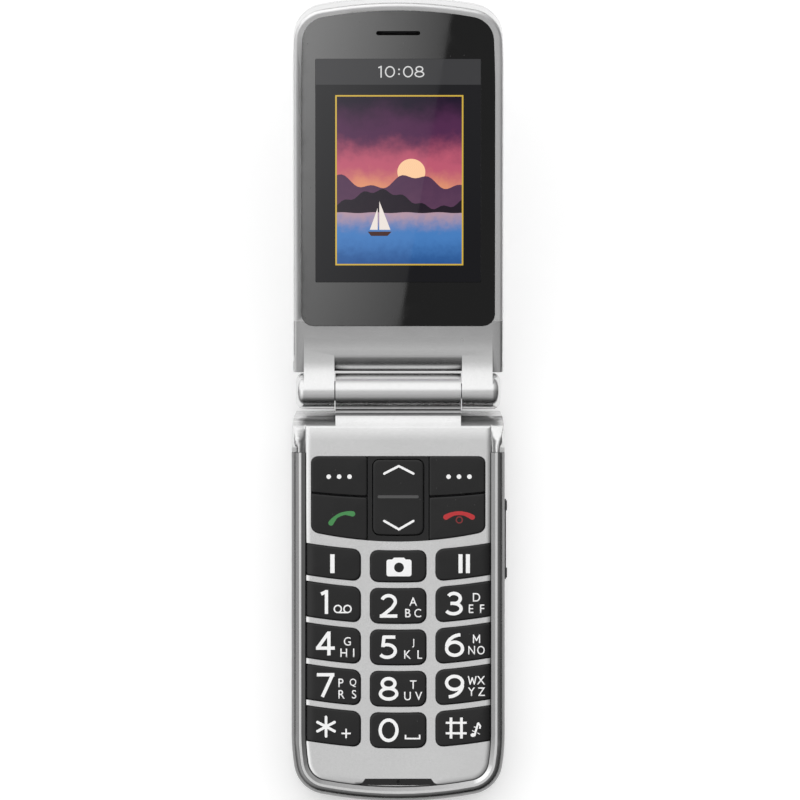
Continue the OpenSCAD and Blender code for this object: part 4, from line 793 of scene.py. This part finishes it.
STROKE = 0.325
DIGITS = {
    "0": {"rings": [((0, 0), (0.82, 1.0))]},
    "1": {"lines": [[(-0.4, 0.78), (0.1, 1.0)], [(0.12, 1.17), (0.12, -1.17)]]},
    "2": {"lines": [arc((0, 0.42), (0.66, 0.58), 160, -20, 18) + polygon((0.34, -0.2), (-0.66, -1.0)),
        [(-0.86, -1.0), (0.86, -1.0)]]},
    "3": {"lines": [arc((-0.06, 0.5), (0.62, 0.5), 150, -88, 18),
        arc((-0.12, -0.49), (0.76, 0.51), 88, -152, 20), [(-0.4, 0.02), (0.0, 0.02)]]},
    "4": {"lines": [[(0.36, 1.17), (0.36, -1.17)], [(0.3, 1.02), (-0.76, -0.46)],
        [(-0.9, -0.46), (0.94, -0.46)]]},
    "5": {"lines": [[(0.66, 1.0), (-0.54, 1.0)], [(-0.44, 1.1), (-0.56, 0.02)],
        arc((-0.14, -0.36), (0.8, 0.62), 122, -144, 24)]},
    "6": {"lines": [arc((0.62, -0.3), (1.42, 1.3), 92, 172, 16)], "rings": [((0, -0.36), (0.78, 0.64))]},
    "7": {"lines": [[(-0.82, 1.0), (0.9, 1.0)], [(0.72, 1.0), (-0.28, -1.17)]]},
    "8": {"rings": [((0, 0.52), (0.62, 0.48)), ((0, -0.48), (0.8, 0.52))]},
    "9": {"lines": [arc((-0.62, 0.3), (1.42, 1.3), -88, -8, 16)], "rings": [((0, 0.36), (0.78, 0.64))]},
}
DIGIT_HALF = 2.49       # half the height of a digit between the middles of its outer strokes


def digit(name, scale=DIGIT_HALF, weight=STROKE):
    """Plate of one digit, centred on the origin."""
    width = weight * scale
    drawing = DIGITS[name]
    areas = [stroke([Vector(p) * scale for p in line], width) for line in drawing.get("lines", ())]
    holes = []
    for centre, (rx, ry) in drawing.get("rings", ()):
        middle = Vector(centre) * scale
        areas.append(ring(middle, (rx * scale + width / 2, ry * scale + width / 2), 48))
        holes.append((middle, (rx * scale - width / 2, ry * scale - width / 2)))
    cut = [ring(c, r, 40) for c, r in holes]
    return plate_of(areas, cut)


# ---------- legends ----------

ROWS_V = (52.47, 62.58, 72.7, 82.81)    # distance of the digit rows from the hinge axis
MEMORY_V = 42.9
LEGEND_ARC = 165.0                      # radius of the arc that a row of legends follows
LETTER_H = 2.1
UPPER, LOWER = 1.03, -1.76              # height of the two lines of letters over a key's middle


def legend_at(x, v):
    """Where a legend stands that far along a row: on the row's own arc."""
    return x, HINGE.y - v + x * x / (2 * LEGEND_ARC)


def on_key(key, name, builder, x, y, ink=None):
    """Print lying on a key at a place of the base, riding with that key."""
    laid_on(shifted(builder, x, y), SURFACES[key])
    return piece(name, builder, ink or WHITE_INK, body_of(key))


# Share of the font's width that letters get, and the spiky letters as lines in a frame two units high
PLAIN_SHARE = 0.92
SLIM = {"N": 0.84, "O": 0.84, "Q": 0.86, "C": 0.9}
SPIKY = {"M": [(-0.8, -1), (-0.8, 1), (0, -0.45), (0.8, 1), (0.8, -1)],
    "W": [(-1.0, 1), (-0.55, -1), (0, 0.7), (0.55, -1), (1.0, 1)]}


def one_letter(letter):
    """Plate of a letter; the spiky ones are drawn stroke by stroke."""
    if letter not in SPIKY:
        return lettering(letter, LETTER_H, SLIM.get(letter, PLAIN_SHARE))
    reach = (LETTER_H - 0.26) / 2
    line = [Vector(p) * reach for p in SPIKY[letter]]
    return plate_of([stroke([a, b], 0.28, True) for a, b in zip(line, line[1:])])


def letter_line(text, width):
    """One letter, or two with the space between them that makes the line that wide."""
    if len(text) == 1:
        return one_letter(text)
    placed = []
    for letter, side in zip(text, (-1, 1)):
        plate = one_letter(letter)
        half = max(v.co.x for v in plate.verts)
        placed.append(shifted(plate, side * (width / 2 - half), 0))
    return joined(*placed)


def letters(upper, lower, width):
    """Two lines of letters, centred on each other."""
    lines = ((upper, UPPER), (lower, LOWER))
    return joined(*[shifted(letter_line(text, width), 0, y) for text, y in lines])


def tape_reels():
    """Two loops joined below, the usual sign for recorded messages."""
    gap, r, width = 1.18, 0.87, 0.34
    loops = [ring((x, 0), r + width / 2, 28) for x in (-gap, gap)]
    holes = [ring((x, 0), r - width / 2, 24) for x in (-gap, gap)]
    return plate_of(loops + [stroke([(-gap, -r), (gap, -r)], width)], holes)


def camera_sign():
    body = round_rect(-3.05, 3.05, -2.3, 1.8, 0.55)
    hump = polygon((-1.9, 1.6), (-1.2, 2.25), (1.2, 2.25), (1.9, 1.6))
    return plate_of([body, hump], [ring((0, -0.15), 1.2)])


def star_sign(r=2.35, width=0.66):
    ends = [Vector((math.cos(a), math.sin(a))) * r for a in map(math.radians, (90, 28, -28))]
    return plate_of([stroke([-end, end], width, True) for end in ends])


def hash_sign(half=2.55, width=0.66):
    gap = half * 0.5
    upright = [stroke([(x, -half), (x, half)], width) for x in (-gap, gap)]
    level = [stroke([(-half, y), (half, y)], width * 0.8) for y in (-gap, gap)]
    return plate_of(upright + level)


def plus_sign(half=1.15, width=0.38):
    return plate_of([stroke([(-half, 0), (half, 0)], width), stroke([(0, -half), (0, half)], width)])


def space_sign(half=1.72, width=0.38):
    return plate_of([stroke([(-half, 0.55), (-half, -0.4), (half, -0.4), (half, 0.55)], width)])


def note_sign():
    """Musical note with strokes across it, for a silenced ringer."""
    head = ring((-0.75, -1.45), (0.62, 0.45), 20)
    stem = stroke([(-0.35, -1.4), (0.5, 1.5)], 0.5)
    flag = stroke([(0.45, 1.6), (1.05, 0.75), (0.85, 0.1)], 0.4)
    ties = [stroke([(-1.0, -0.35), (-0.1, -0.75)], 0.2), stroke([(0.35, -0.9), (0.9, -1.25)], 0.2),
        stroke([(-0.55, 0.55), (0.2, 0.4)], 0.2)]
    return plate_of([head, stem, flag] + ties)


def bars(*places, width=1.06, height=4.6):
    return plate_of([stroke([(x, -height / 2), (x, height / 2)], width) for x in places])


# Column, row, digit or sign with its place along the row, and the small print beside it
DIGIT_X = {-1: -17.8, 0: -2.35, 1: 13.75}
LETTERS_X = {-1: -12.4, 0: 3.65, 1: 19.1}
DIGIT_KEYS = [
    ("key_1", -1, 0, "1", None), ("key_2", 0, 0, "2", ("A", "BC", 3.9)),
    ("key_3", 1, 0, "3", ("D", "EF", 3.8)),
    ("key_4", -1, 1, "4", ("G", "HI", 3.4)), ("key_5", 0, 1, "5", ("J", "KL", 4.4)),
    ("key_6", 1, 1, "6", ("M", "NO", 4.0)), ("key_7", -1, 2, "7", ("PQ", "RS", 4.35)),
    ("key_8", 0, 2, "8", ("T", "UV", 4.4)), ("key_9", 1, 2, "9", ("WX", "YZ", 4.2)),
    ("key_star", -1, 3, None, None), ("key_0", 0, 3, "0", None), ("key_hash", 1, 3, None, None)]
# Key, ending of the piece's name, what makes it, place along the row, row, and how far below the row
SIGNS = [
    ("key_1", "_reels", tape_reels, -13.55, 0, 1.25), ("key_star", "_sign", star_sign, -17.6, 3, 0.0),
    ("key_star", "_plus", plus_sign, -12.7, 3, 1.2), ("key_0", "_space", space_sign, 3.5, 3, 1.6),
    ("key_hash", "_sign", hash_sign, 14.15, 3, 0.0), ("key_hash", "_note", note_sign, 19.0, 3, 0.75)]
MEMORY_KEYS = [("key_memory_1", -1), ("key_camera", 0), ("key_memory_2", 1)]
NAV_KEYS = ["key_soft_left", "key_soft_right", "key_call", "key_end", "key_nav"]
SURFACES = {}


def make_key(node, column=0):
    made = piece(node + "_cap", key_cap(node, column), BLACK, body_of(node), "black_gloss",
        smooth_angle=40)
    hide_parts(node)
    SURFACES[node] = surface_of(made)


def make_keys():
    for node, column, *_ in DIGIT_KEYS + MEMORY_KEYS:
        make_key(node, column)
    for node in NAV_KEYS:
        make_key(node)


def make_digit_legends():
    for key, column, row, name, small in DIGIT_KEYS:
        v = ROWS_V[row]
        if name:
            on_key(key, key + "_digit", digit(name), *legend_at(DIGIT_X[column], v - 0.05))
        if small:
            x, y = legend_at(LETTERS_X[column], v)
            on_key(key, key + "_letters", letters(*small), x, y)
    for key, name, make, along, row, below in SIGNS:
        x, y = legend_at(along, ROWS_V[row])
        on_key(key, key + name, make(), x, y - below)


def make_memory_legends():
    on_key("key_memory_1", "key_memory_1_bar", bars(0), *legend_at(-16.05, MEMORY_V))
    on_key("key_memory_2", "key_memory_2_bars", bars(-0.9, 0.9, width=0.98), *legend_at(16.1, MEMORY_V))
    on_key("key_camera", "key_camera_sign", camera_sign(), *legend_at(0.2, MEMORY_V))


# ---------- navigation keys ----------

GREEN_INK = printed_ink("green_ink", (0.05, 0.26, 0.07))
RED_INK = printed_ink("red_ink", (0.5, 0.015, 0.02))
DARK_RED_INK = printed_ink("dark_red_ink", (0.2, 0.008, 0.01))
GREY_INK = printed_ink("grey_ink", (0.07, 0.07, 0.07))
SOFT_DOT_R = 0.56
SOFT_DOT_STEP = 2.54


def chevron(half=3.55, rise=1.83, width=0.56):
    return plate_of([stroke([(-half, 0), (0, rise), (half, 0)], width, True)])


def handset(half, sag, thick_end, thin_middle, n=14):
    """Outlines of a handset lying on an arc: slim in the middle, with thicker round ends."""
    spine = [Vector((half * t, -sag * t * t)) for t in [2 * i / n - 1 for i in range(n + 1)]]
    left, right = [], []
    for i, p in enumerate(spine):
        t = abs(2 * i / n - 1)
        width = thin_middle + (thick_end - thin_middle) * max(0.0, (t - 0.45) / 0.55) ** 0.7
        way = (spine[min(i + 1, n)] - spine[max(i - 1, 0)]).normalized()
        left.append(p + Vector((-way.y, way.x)) * width * 0.35)
        right.append(p - Vector((-way.y, way.x)) * width * 0.65)
    ends = [ring((left[i] + right[i]) / 2, thick_end / 2, 20) for i in (0, n)]
    return [left + right[::-1]] + ends


def turned(outlines, degrees):
    c, s = math.cos(math.radians(degrees)), math.sin(math.radians(degrees))
    return [[Vector((p.x * c - p.y * s, p.x * s + p.y * c)) for p in outline] for outline in outlines]


def dot_row():
    """Three dots in a row, made by a node tree that sets discs on a line."""
    tree = bpy.data.node_groups.new("dot_row", "GeometryNodeTree")
    for name, value in (("Dots", 3), ("Step", SOFT_DOT_STEP), ("Radius", SOFT_DOT_R), ("Height", INK)):
        kind = "NodeSocketInt" if name == "Dots" else "NodeSocketFloat"
        tree.interface.new_socket(name, in_out="INPUT", socket_type=kind).default_value = value
    tree.interface.new_socket("Geometry", in_out="OUTPUT", socket_type="NodeSocketGeometry")
    given, result = add(tree, "NodeGroupInput").outputs, add(tree, "NodeGroupOutput").inputs
    line = add(tree, "GeometryNodeMeshLine")
    link(tree, given["Dots"], line.inputs["Count"])
    step = add(tree, "ShaderNodeCombineXYZ")
    link(tree, given["Step"], step.inputs["X"])
    link(tree, step.outputs[0], line.inputs["Offset"])
    disc = add(tree, "GeometryNodeMeshCylinder")
    disc.inputs["Vertices"].default_value = 24
    link(tree, given["Radius"], disc.inputs["Radius"])
    link(tree, given["Height"], disc.inputs["Depth"])
    dots = add(tree, "GeometryNodeInstanceOnPoints")
    link(tree, line.outputs[0], dots.inputs["Points"])
    link(tree, disc.outputs[0], dots.inputs["Instance"])
    real = add(tree, "GeometryNodeRealizeInstances")
    link(tree, dots.outputs[0], real.inputs[0])
    inked = add(tree, "GeometryNodeSetMaterial")
    inked.inputs["Material"].default_value = WHITE_INK
    link(tree, real.outputs[0], inked.inputs[0])
    link(tree, inked.outputs[0], result[0])
    return grown(tree)


def grown(tree):
    """Plain bmesh that a geometry node tree makes."""
    holder = in_scene("holder", bpy.data.meshes.new("holder"))
    holder.modifiers.new("grown", "NODES").node_group = tree
    builder = opened(evaluated(holder))
    bpy.data.objects.remove(holder)
    return builder


def make_nav_legends():
    for key, x in (("key_soft_left", -14.4), ("key_soft_right", 14.83)):
        dots = shifted(dot_row(), -SOFT_DOT_STEP, 0, INK / 2)
        on_key(key, key + "_dots", dots, x, 29.1)
    on_key("key_nav", "key_nav_up", chevron(), 0.15, 29.85)
    on_key("key_nav", "key_nav_down", chevron(rise=-2.05), 0.15, 18.3)
    line = plate_of([round_rect(-5.0, 5.0, -0.36, 0.36, 0.3)])
    on_key("key_nav", "key_nav_line", line, 0.0, 24.2, GREY_INK)
    call = plate_of(turned(handset(2.95, 0.95, 1.3, 0.8), 23))
    on_key("key_call", "key_call_handset", call, -14.2, 19.95, GREEN_INK)
    end = plate_of(handset(3.3, 0.95, 1.3, 0.95))
    on_key("key_end", "key_end_handset", end, 14.85, 20.35, RED_INK)
    power = plate_of([ring((0, 0), 0.9, 28)], [ring((0, 0), 0.58, 24)])
    on_key("key_end", "key_end_ring", power, 14.9, 18.55, DARK_RED_INK)


# ---------- display ----------

ACTIVE_X = 20.15                        # half width of the lit area
ACTIVE_S = (28.0, 85.7)                 # from the hinge axis to its near and far edges
PICTURE_X = (-15.3, 15.85)
PICTURE_S = (32.4, 76.35)
BAR_S = 79.0                            # near edge of the bar across the top
LIT_H = WINDOW_FACE - 0.075             # height of the lit layers, bonded just under the window's face
LAYER = 0.01                            # step in height from one lit layer to the next
SHEET_T = 0.008                         # thickness of a lit layer
FRAME_LINE = 0.38                       # width of the line round the picture


def lid_piece(name, builder, material, slot=None, **options):
    return piece(name, builder, material, "lid", slot, place=LID, **options)


def window_glass():
    """Black border of the window, with an opening for the lit area."""
    border = merged("display_window")
    border.transform(LID.inverted())
    heights = (WINDOW_FACE - 1.6, WINDOW_FACE + 0.6)
    cutter = loft([[Vector((*p, h)) for p in lit_outline(0.0)] for h in heights])
    return cut(border, cutter)


def lit_outline(d):
    """Outline of the lit area, drawn in by d."""
    return round_rect(-ACTIVE_X + d, ACTIVE_X - d, ACTIVE_S[0] + d, ACTIVE_S[1] - d, 0.3, 3)


def cut(builder, cutter):
    """The first solid less the second."""
    holders = []
    for name, part in (("solid", builder), ("cutter", cutter)):
        bmesh.ops.recalc_face_normals(part, faces=part.faces[:])
        holders.append(in_scene(name, mesh_of(name, part)))
    less = holders[0].modifiers.new("less", "BOOLEAN")
    less.operation = "DIFFERENCE"
    less.solver = "EXACT"
    less.object = holders[1]
    result = opened(evaluated(holders[0]))
    for holder in holders:
        mesh = holder.data
        bpy.data.objects.remove(holder)
        bpy.data.meshes.remove(mesh)
    return result


def lit(name):
    """Material of a lit layer: glossy and black where unlit; the caller adds the colour of its light."""
    material, tree, shader = blank(name)
    gloss = use(tree, HANDLED, Smudge_Scale=120.0, Grain_Scale=900.0, Low=0.0, High=0.02)
    feed(tree, shader, Base_Color=(0.005, 0.005, 0.006, 1.0), Roughness=gloss["Roughness"],
        Specular_IOR_Level=0.11, Emission_Strength=1.0)
    return material, tree, shader


def lit_flat(name, colour):
    """Even light with the fine grid of the display's dots in it."""
    material, tree, shader = lit(name)
    grid = add(tree, "ShaderNodeTexChecker")
    feed(tree, grid, Vector=place_of(tree), Scale=4200.0, Color1=scaled(colour, 0.94),
        Color2=scaled(colour, 1.04))
    link(tree, grid.outputs["Color"], shader.inputs["Emission Color"])
    return material


def lit_ramp(name, stops, axis, start, end, ripple=0.0, ripple_scale=300.0):
    """Light that changes along one axis of the display between stops of (share, colour)."""
    material, tree, shader = lit(name)
    place = place_of(tree)
    parts = add(tree, "ShaderNodeSeparateXYZ")
    link(tree, place, parts.inputs[0])
    way = spread(tree, parts.outputs[axis], start, end, 0.0, 1.0)
    cloud = noise(tree, place, ripple_scale, 4.0, 0.6)
    shift = math_node(tree, "MULTIPLY", math_node(tree, "SUBTRACT", cloud, 0.5), ripple)
    light = ramp_of(tree, math_node(tree, "ADD", way, shift), stops, "EASE")
    link(tree, light, shader.inputs["Emission Color"])
    return material


def sheet(outlines, layer, holes=()):
    """Thin lit plate of these outlines, as many layers up as given, in the lid's frame."""
    return shifted(plate_of(outlines, holes, SHEET_T), 0, 0, LIT_H + layer * LAYER)


def hills(base, top, waves, n=40):
    """Outline of a range of hills between the picture's sides."""
    x0, x1 = PICTURE_X
    ridge = []
    for i in range(n + 1):
        x = x1 + (x0 - x1) * i / n
        ridge.append(Vector((x, top + sum(a * math.sin(x * f + p) for a, f, p in waves))))
    return [Vector((x0, base)), Vector((x1, base))] + ridge


def make_display():
    border = gloss_black("window_black", 0.003, 0.0, 0.02, 0.0000001)
    made = lid_piece("window_border", window_glass(), border, "window_black", smooth_angle=30)
    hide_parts("display_window")
    screen = lit_ramp("screen_ground", [(0.0, (0.006, 0.006, 0.007)), (1.0, (0.012, 0.012, 0.013))],
        1, 0.075, 0.13)
    lid_piece("screen_ground", sheet([lit_outline(0.05)], -3), screen)
    bar = round_rect(-ACTIVE_X + 0.1, ACTIVE_X - 0.1, BAR_S, ACTIVE_S[1] - 0.1, 0.1, 2)
    lid_piece("screen_bar", sheet([bar], -2), lit_flat("screen_bar", (0.045, 0.045, 0.047)))
    make_clock()
    outer, inner = picture_outline(0.0), picture_outline(FRAME_LINE)
    lid_piece("screen_frame", sheet([outer], 6, [inner]), lit_flat("screen_frame", (0.62, 0.42, 0.06)))
    make_picture()


def picture_outline(d):
    """Outline of the picture, drawn in by d."""
    x0, x1 = PICTURE_X
    s0, s1 = PICTURE_S
    return polygon((x0 + d, s0 + d), (x1 - d, s0 + d), (x1 - d, s1 - d), (x0 + d, s1 - d))


CLOCK = [("1", -4.5), ("0", -2.2), ("0", 2.2), ("8", 4.95)]     # digits and where each stands
CLOCK_HALF = 1.3                        # half the height of its digits, as DIGIT_HALF is on the keys


def make_clock():
    """Plain time of day in the middle of the bar."""
    digits = [shifted(digit(name, CLOCK_HALF, 0.24), x, 0) for name, x in CLOCK]
    colon = plate_of([ring((0, y), 0.22, 16) for y in (-0.6, 0.6)])
    clock = shifted(joined(colon, *digits), 0.2, (BAR_S + ACTIVE_S[1]) / 2, LIT_H + LAYER)
    lid_piece("screen_clock", clock, lit_flat("screen_digits", (0.7, 0.7, 0.7)))


def make_picture():
    """Evening landscape: dusk sky, low sun, hills and a lake with a small sail."""
    foot = PICTURE_S[0]
    low_y, high_y = ((LID @ Vector((0, reach, 0))).y * MM for reach in PICTURE_S)
    tall = high_y - low_y
    sky_stops = [(0.0, (0.75, 0.3, 0.16)), (0.3, (0.5, 0.1, 0.16)), (0.62, (0.08, 0.02, 0.07)),
        (1.0, (0.012, 0.006, 0.02))]
    sky = lit_ramp("picture_sky", sky_stops, 1, low_y + tall * 0.42, high_y, 0.35, 160.0)
    lid_piece("picture_sky", sheet([picture_outline(0.0)], -1), sky)
    sun = lit_flat("picture_sun", (1.0, 0.62, 0.36))
    lid_piece("picture_sun", sheet([ring((3.2, 56.5), 3.4, 40)], 0), sun)
    far_stops = [(0.0, (0.12, 0.05, 0.1)), (1.0, (0.05, 0.02, 0.06))]
    far = lit_ramp("picture_far_hills", far_stops, 1, low_y, high_y, 0.4)
    far_ridge = hills(foot, 54.0, [(1.6, 0.32, 0.4), (0.7, 0.9, 1.1)])
    lid_piece("picture_far_hills", sheet([far_ridge], 1), far)
    near_stops = [(0.0, (0.02, 0.012, 0.02)), (1.0, (0.006, 0.005, 0.012))]
    near = lit_ramp("picture_near_hills", near_stops, 1, low_y, high_y, 0.5, 600.0)
    near_ridge = hills(foot, 49.5, [(2.2, 0.22, 2.6), (0.5, 1.3, 0.0)])
    lid_piece("picture_near_hills", sheet([near_ridge], 2), near)
    lake_stops = [(0.0, (0.02, 0.09, 0.28)), (0.55, (0.06, 0.2, 0.5)), (1.0, (0.45, 0.3, 0.36))]
    lake = lit_ramp("picture_lake", lake_stops, 1, low_y, low_y + tall * 0.33, 0.3, 500.0)
    lid_piece("picture_lake", sheet([hills(foot, 46.0, [(0.12, 0.8, 0.0)])], 3), lake)
    make_boat()


def make_boat():
    """Small sailing boat on the picture's lake."""
    sails = [polygon((-4.6, 41.6), (-4.6, 49.0), (-1.9, 41.6)),
        polygon((-5.0, 41.6), (-5.0, 47.2), (-6.9, 41.6))]
    lid_piece("picture_sail", sheet(sails, 4), lit_flat("picture_sail", (0.85, 0.78, 0.72)))
    hull = polygon((-7.4, 41.1), (-6.6, 40.0), (-2.6, 40.0), (-1.6, 41.1))
    lid_piece("picture_hull", sheet([hull], 4), lit_flat("picture_hull", (0.06, 0.02, 0.015)))


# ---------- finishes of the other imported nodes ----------


def dress(nodes, material):
    """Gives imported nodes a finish."""
    for node in nodes:
        slots = frame["nodes"][node].data.materials
        slots.clear()
        slots.append(material)


def circuit_board():
    """Green solder mask with the shallow relief of copper tracks."""
    material, tree, shader = blank("board_green")
    tracks = add(tree, "ShaderNodeTexBrick")
    feed(tree, tracks, Vector=place_of(tree), Scale=420.0, Mortar_Size=0.035)
    green, pale_green = rgb(0.16, (0.25, 1.0, 0.5)), rgb(0.26, (0.3, 1.0, 0.45))
    shade = mixed(tree, tracks.outputs["Fac"], green, pale_green)
    gloss = use(tree, HANDLED, Smudge_Scale=300.0, Grain_Scale=5000.0, Low=0.3, High=0.42)
    feed(tree, shader, Base_Color=shade, Roughness=gloss["Roughness"])
    bump(tree, shader, tracks.outputs["Fac"], 0.00003, 0.6)
    return material


def dress_inner_pieces():
    steel = plain_metal("spring_steel", (0.58, 0.58, 0.6), 0.25, 0.38, (1.0, 0.12, 1.0))
    dress(["board_shields", "sim_holder", "usb_socket", "hinge_case", "hinge_shaft", "hinge_spring",
        "lid_magnet", "lid_screws", "housing_screws", "dome_sheet", "vibration_motor"], steel)
    brass = plain_metal("weight_brass", (0.66, 0.48, 0.22), 0.25, 0.4)
    dress(["vibration_weight", "battery_contacts"], brass)
    plastic = moulded("black_plastic", (0.028, 0.028, 0.03), 0.4, 0.55)
    dress(["hinge_cam", "hinge_bush", "loudspeaker", "earpiece", "camera_module", "microphone",
        "antenna", "side_switches"], plastic)
    dress(["main_board", "lid_board"], circuit_board())
    amber = moulded("flex_amber", (0.5, 0.24, 0.05), 0.25, 0.35, depth=0.000004)
    dress(["flex_cable", "flex_lid_tail"], amber)
    dress(["battery"], plain_metal("battery_can", (0.2, 0.21, 0.23), 0.35, 0.5))
    dress(["keypad_mat"], moulded("keypad_rubber", (0.08, 0.08, 0.085), 0.6, 0.75))
    dress(["display_module"], gloss_black("display_glass", 0.006, 0.1, 0.16))
    dress(["nav_plate"], BLACK)


# ---------- studio ----------

VIEW_X, VIEW_Y = 0.44, 47.8             # what the photograph is centred on
VIEW_WIDTH = 195.1                      # width that the photograph takes in at the keypad's height
CAMERA_FAR = 7000.0                     # far enough that the view is nearly without perspective
TABLE_R, TABLE_T = 3500.0, 20.0         # radius and thickness of the table
TABLE_GLOW = 0.32                       # its own light, as the camera and gloss see it


def make_camera():
    data = bpy.data.cameras.new("camera")
    data.sensor_width = 36.0
    data.lens = data.sensor_width * CAMERA_FAR / VIEW_WIDTH
    data.clip_end = 30.0
    scene.camera = in_scene("camera", data)
    scene.camera.location = Vector((VIEW_X, VIEW_Y, CAMERA_FAR + BASE_TOP)) * MM


def seen_directly(tree):
    """1 for the camera, for gloss and through glass, and 0 for the light that a surface scatters."""
    path = add(tree, "ShaderNodeLightPath").outputs
    first = math_node(tree, "MAXIMUM", path["Is Camera Ray"], path["Is Glossy Ray"])
    return math_node(tree, "MAXIMUM", first, path["Is Transmission Ray"])


def make_floor():
    """Pale round table, whose glow keeps it white in the picture without lighting the phone more."""
    builder = loft([[Vector((*p, h)) for p in ring((0, 0), TABLE_R, 64)] for h in (-TABLE_T, 0.0)])
    builder.transform(Matrix.Scale(MM, 4))
    material, tree, shader = blank("pale_table")
    tone = mixed(tree, noise(tree, place_of(tree), 40.0, 3.0), rgb(0.79), rgb(0.8))
    glow = math_node(tree, "MULTIPLY", seen_directly(tree), TABLE_GLOW)
    feed(tree, shader, Base_Color=tone, Roughness=0.8, Specular_IOR_Level=0.2,
        Emission_Strength=glow, Emission_Color=rgb(1.0))
    floor = in_scene("table", mesh_of("table", builder))
    floor.data.materials.append(material)


# Levels of the studio's light by how far a direction points to the lid's tip, to the right and up
LIGHT_ALONG = [(-1.0, 0.02), (-0.86, 0.05), (-0.76, 0.18), (-0.66, 0.34), (-0.5, 0.45), (-0.3, 0.62),
    (-0.12, 0.66), (0.0, 0.62), (0.08, 0.8), (0.2, 1.4), (0.5, 1.6), (0.75, 1.3), (0.9, 0.9), (1.0, 0.6)]
LIGHT_ACROSS = [(-1.0, 0.7), (-0.9, 0.9), (-0.75, 1.5), (-0.5, 2.1), (-0.25, 1.6), (-0.1, 1.05),
    (0.0, 1.0), (0.15, 0.85), (0.4, 0.45), (0.8, 0.3), (0.95, 0.25), (1.0, 0.3)]
LIGHT_RISE = [(0.0, 0.32), (0.15, 0.4), (0.4, 0.8), (0.6, 1.0), (1.0, 1.0)]
LIGHT_TOP = 1.25                        # gloss sees nothing brighter than this
EVEN_LIGHT = 1.15                       # what matt surfaces get, as a share of the light along the phone


def set_where(tree, chosen, value, other):
    """The value, or the other one where chosen is 1."""
    keep = math_node(tree, "SUBTRACT", 1.0, chosen)
    return math_node(tree, "MULTIPLY_ADD", value, keep, math_node(tree, "MULTIPLY", other, chosen))


def make_world():
    """Studio light: brightest beyond the lid's tip, dark low down on the near side.

    Gloss sees it brighter at the left, and scattered light comes evenly from both sides.
    """
    world = bpy.data.worlds.new("studio")
    scene.world = world
    world.use_nodes = True
    tree = world.node_tree
    ground = tree.nodes["Background"]
    way = add(tree, "ShaderNodeSeparateXYZ")
    link(tree, add(tree, "ShaderNodeTexCoord").outputs["Generated"], way.inputs[0])
    path = add(tree, "ShaderNodeLightPath").outputs
    side = math_node(tree, "MULTIPLY", curve(tree, way.outputs["X"], LIGHT_ACROSS),
        curve(tree, way.outputs["Z"], LIGHT_RISE))
    along = curve(tree, way.outputs["Y"], LIGHT_ALONG)
    glossy = math_node(tree, "MINIMUM", math_node(tree, "MULTIPLY", along, side), LIGHT_TOP)
    even = math_node(tree, "MULTIPLY", along, EVEN_LIGHT)
    light = set_where(tree, path["Is Diffuse Ray"], glossy, even)
    seen = math_node(tree, "MAXIMUM", path["Is Camera Ray"], path["Is Transmission Ray"])
    level = set_where(tree, seen, light, 1.0)
    feed(tree, ground, Strength=level, Color=rgb(1.0))


WINDOW_MIDDLE = 57.45                   # distance of the window's middle from the hinge axis
CARD_AWAY = 2000.0                      # distance of the lit card from the window
CARD_UP = 16.0                          # it stands this much higher, as the camera isn't over the window
CARD_LEFT, CARD_HALF = -30.5, 50.5
CARD_SLANT = (0.1, 16.8)                # its slanted right side, at its foot and at its head


def make_window_card():
    """Lit card that the lid's window reflects, with a slanted right side.

    It is brighter to its head and to its left.
    """
    tilt = 2 * LID_TILT
    away = Vector((0.0, -math.sin(tilt), math.cos(tilt)))
    up = Vector((0.0, math.cos(tilt), math.sin(tilt)))
    middle = LID @ Vector((0.0, WINDOW_MIDDLE, WINDOW_FACE)) + away * CARD_AWAY + up * CARD_UP
    material, tree, shader = blank("lit_card")
    place = add(tree, "ShaderNodeSeparateXYZ")
    link(tree, place_of(tree), place.inputs[0])
    rise = CARD_HALF * up.y * MM
    to_head = spread(tree, place.outputs["Y"], middle.y * MM - rise, middle.y * MM + rise, 0.7, 1.35)
    to_left = spread(tree, place.outputs["X"], CARD_LEFT * MM, CARD_SLANT[1] * MM, 4.2, 1.0)
    feed(tree, shader, Base_Color=rgb(0.0), Emission_Color=rgb(1.0),
        Emission_Strength=math_node(tree, "MULTIPLY", to_head, to_left))
    corners = [(CARD_LEFT, -CARD_HALF), (CARD_SLANT[0], -CARD_HALF), (CARD_SLANT[1], CARD_HALF),
        (CARD_LEFT, CARD_HALF)]
    card = bmesh.new()
    card.faces.new([card.verts.new((middle + Vector((x, 0, 0)) + up * y) * MM) for x, y in corners])
    made = in_scene("lit_card", mesh_of("lit_card", card))
    made.data.materials.append(material)
    for ray in ("camera", "diffuse", "shadow", "transmission", "volume_scatter"):
        setattr(made, "visible_" + ray, False)


scene.view_settings.view_transform = "Standard"
make_camera()
make_world()
make_floor()
make_window_card()
make_shells()
make_keys()
make_digit_legends()
make_memory_legends()
make_nav_legends()
make_display()
dress_inner_pieces()
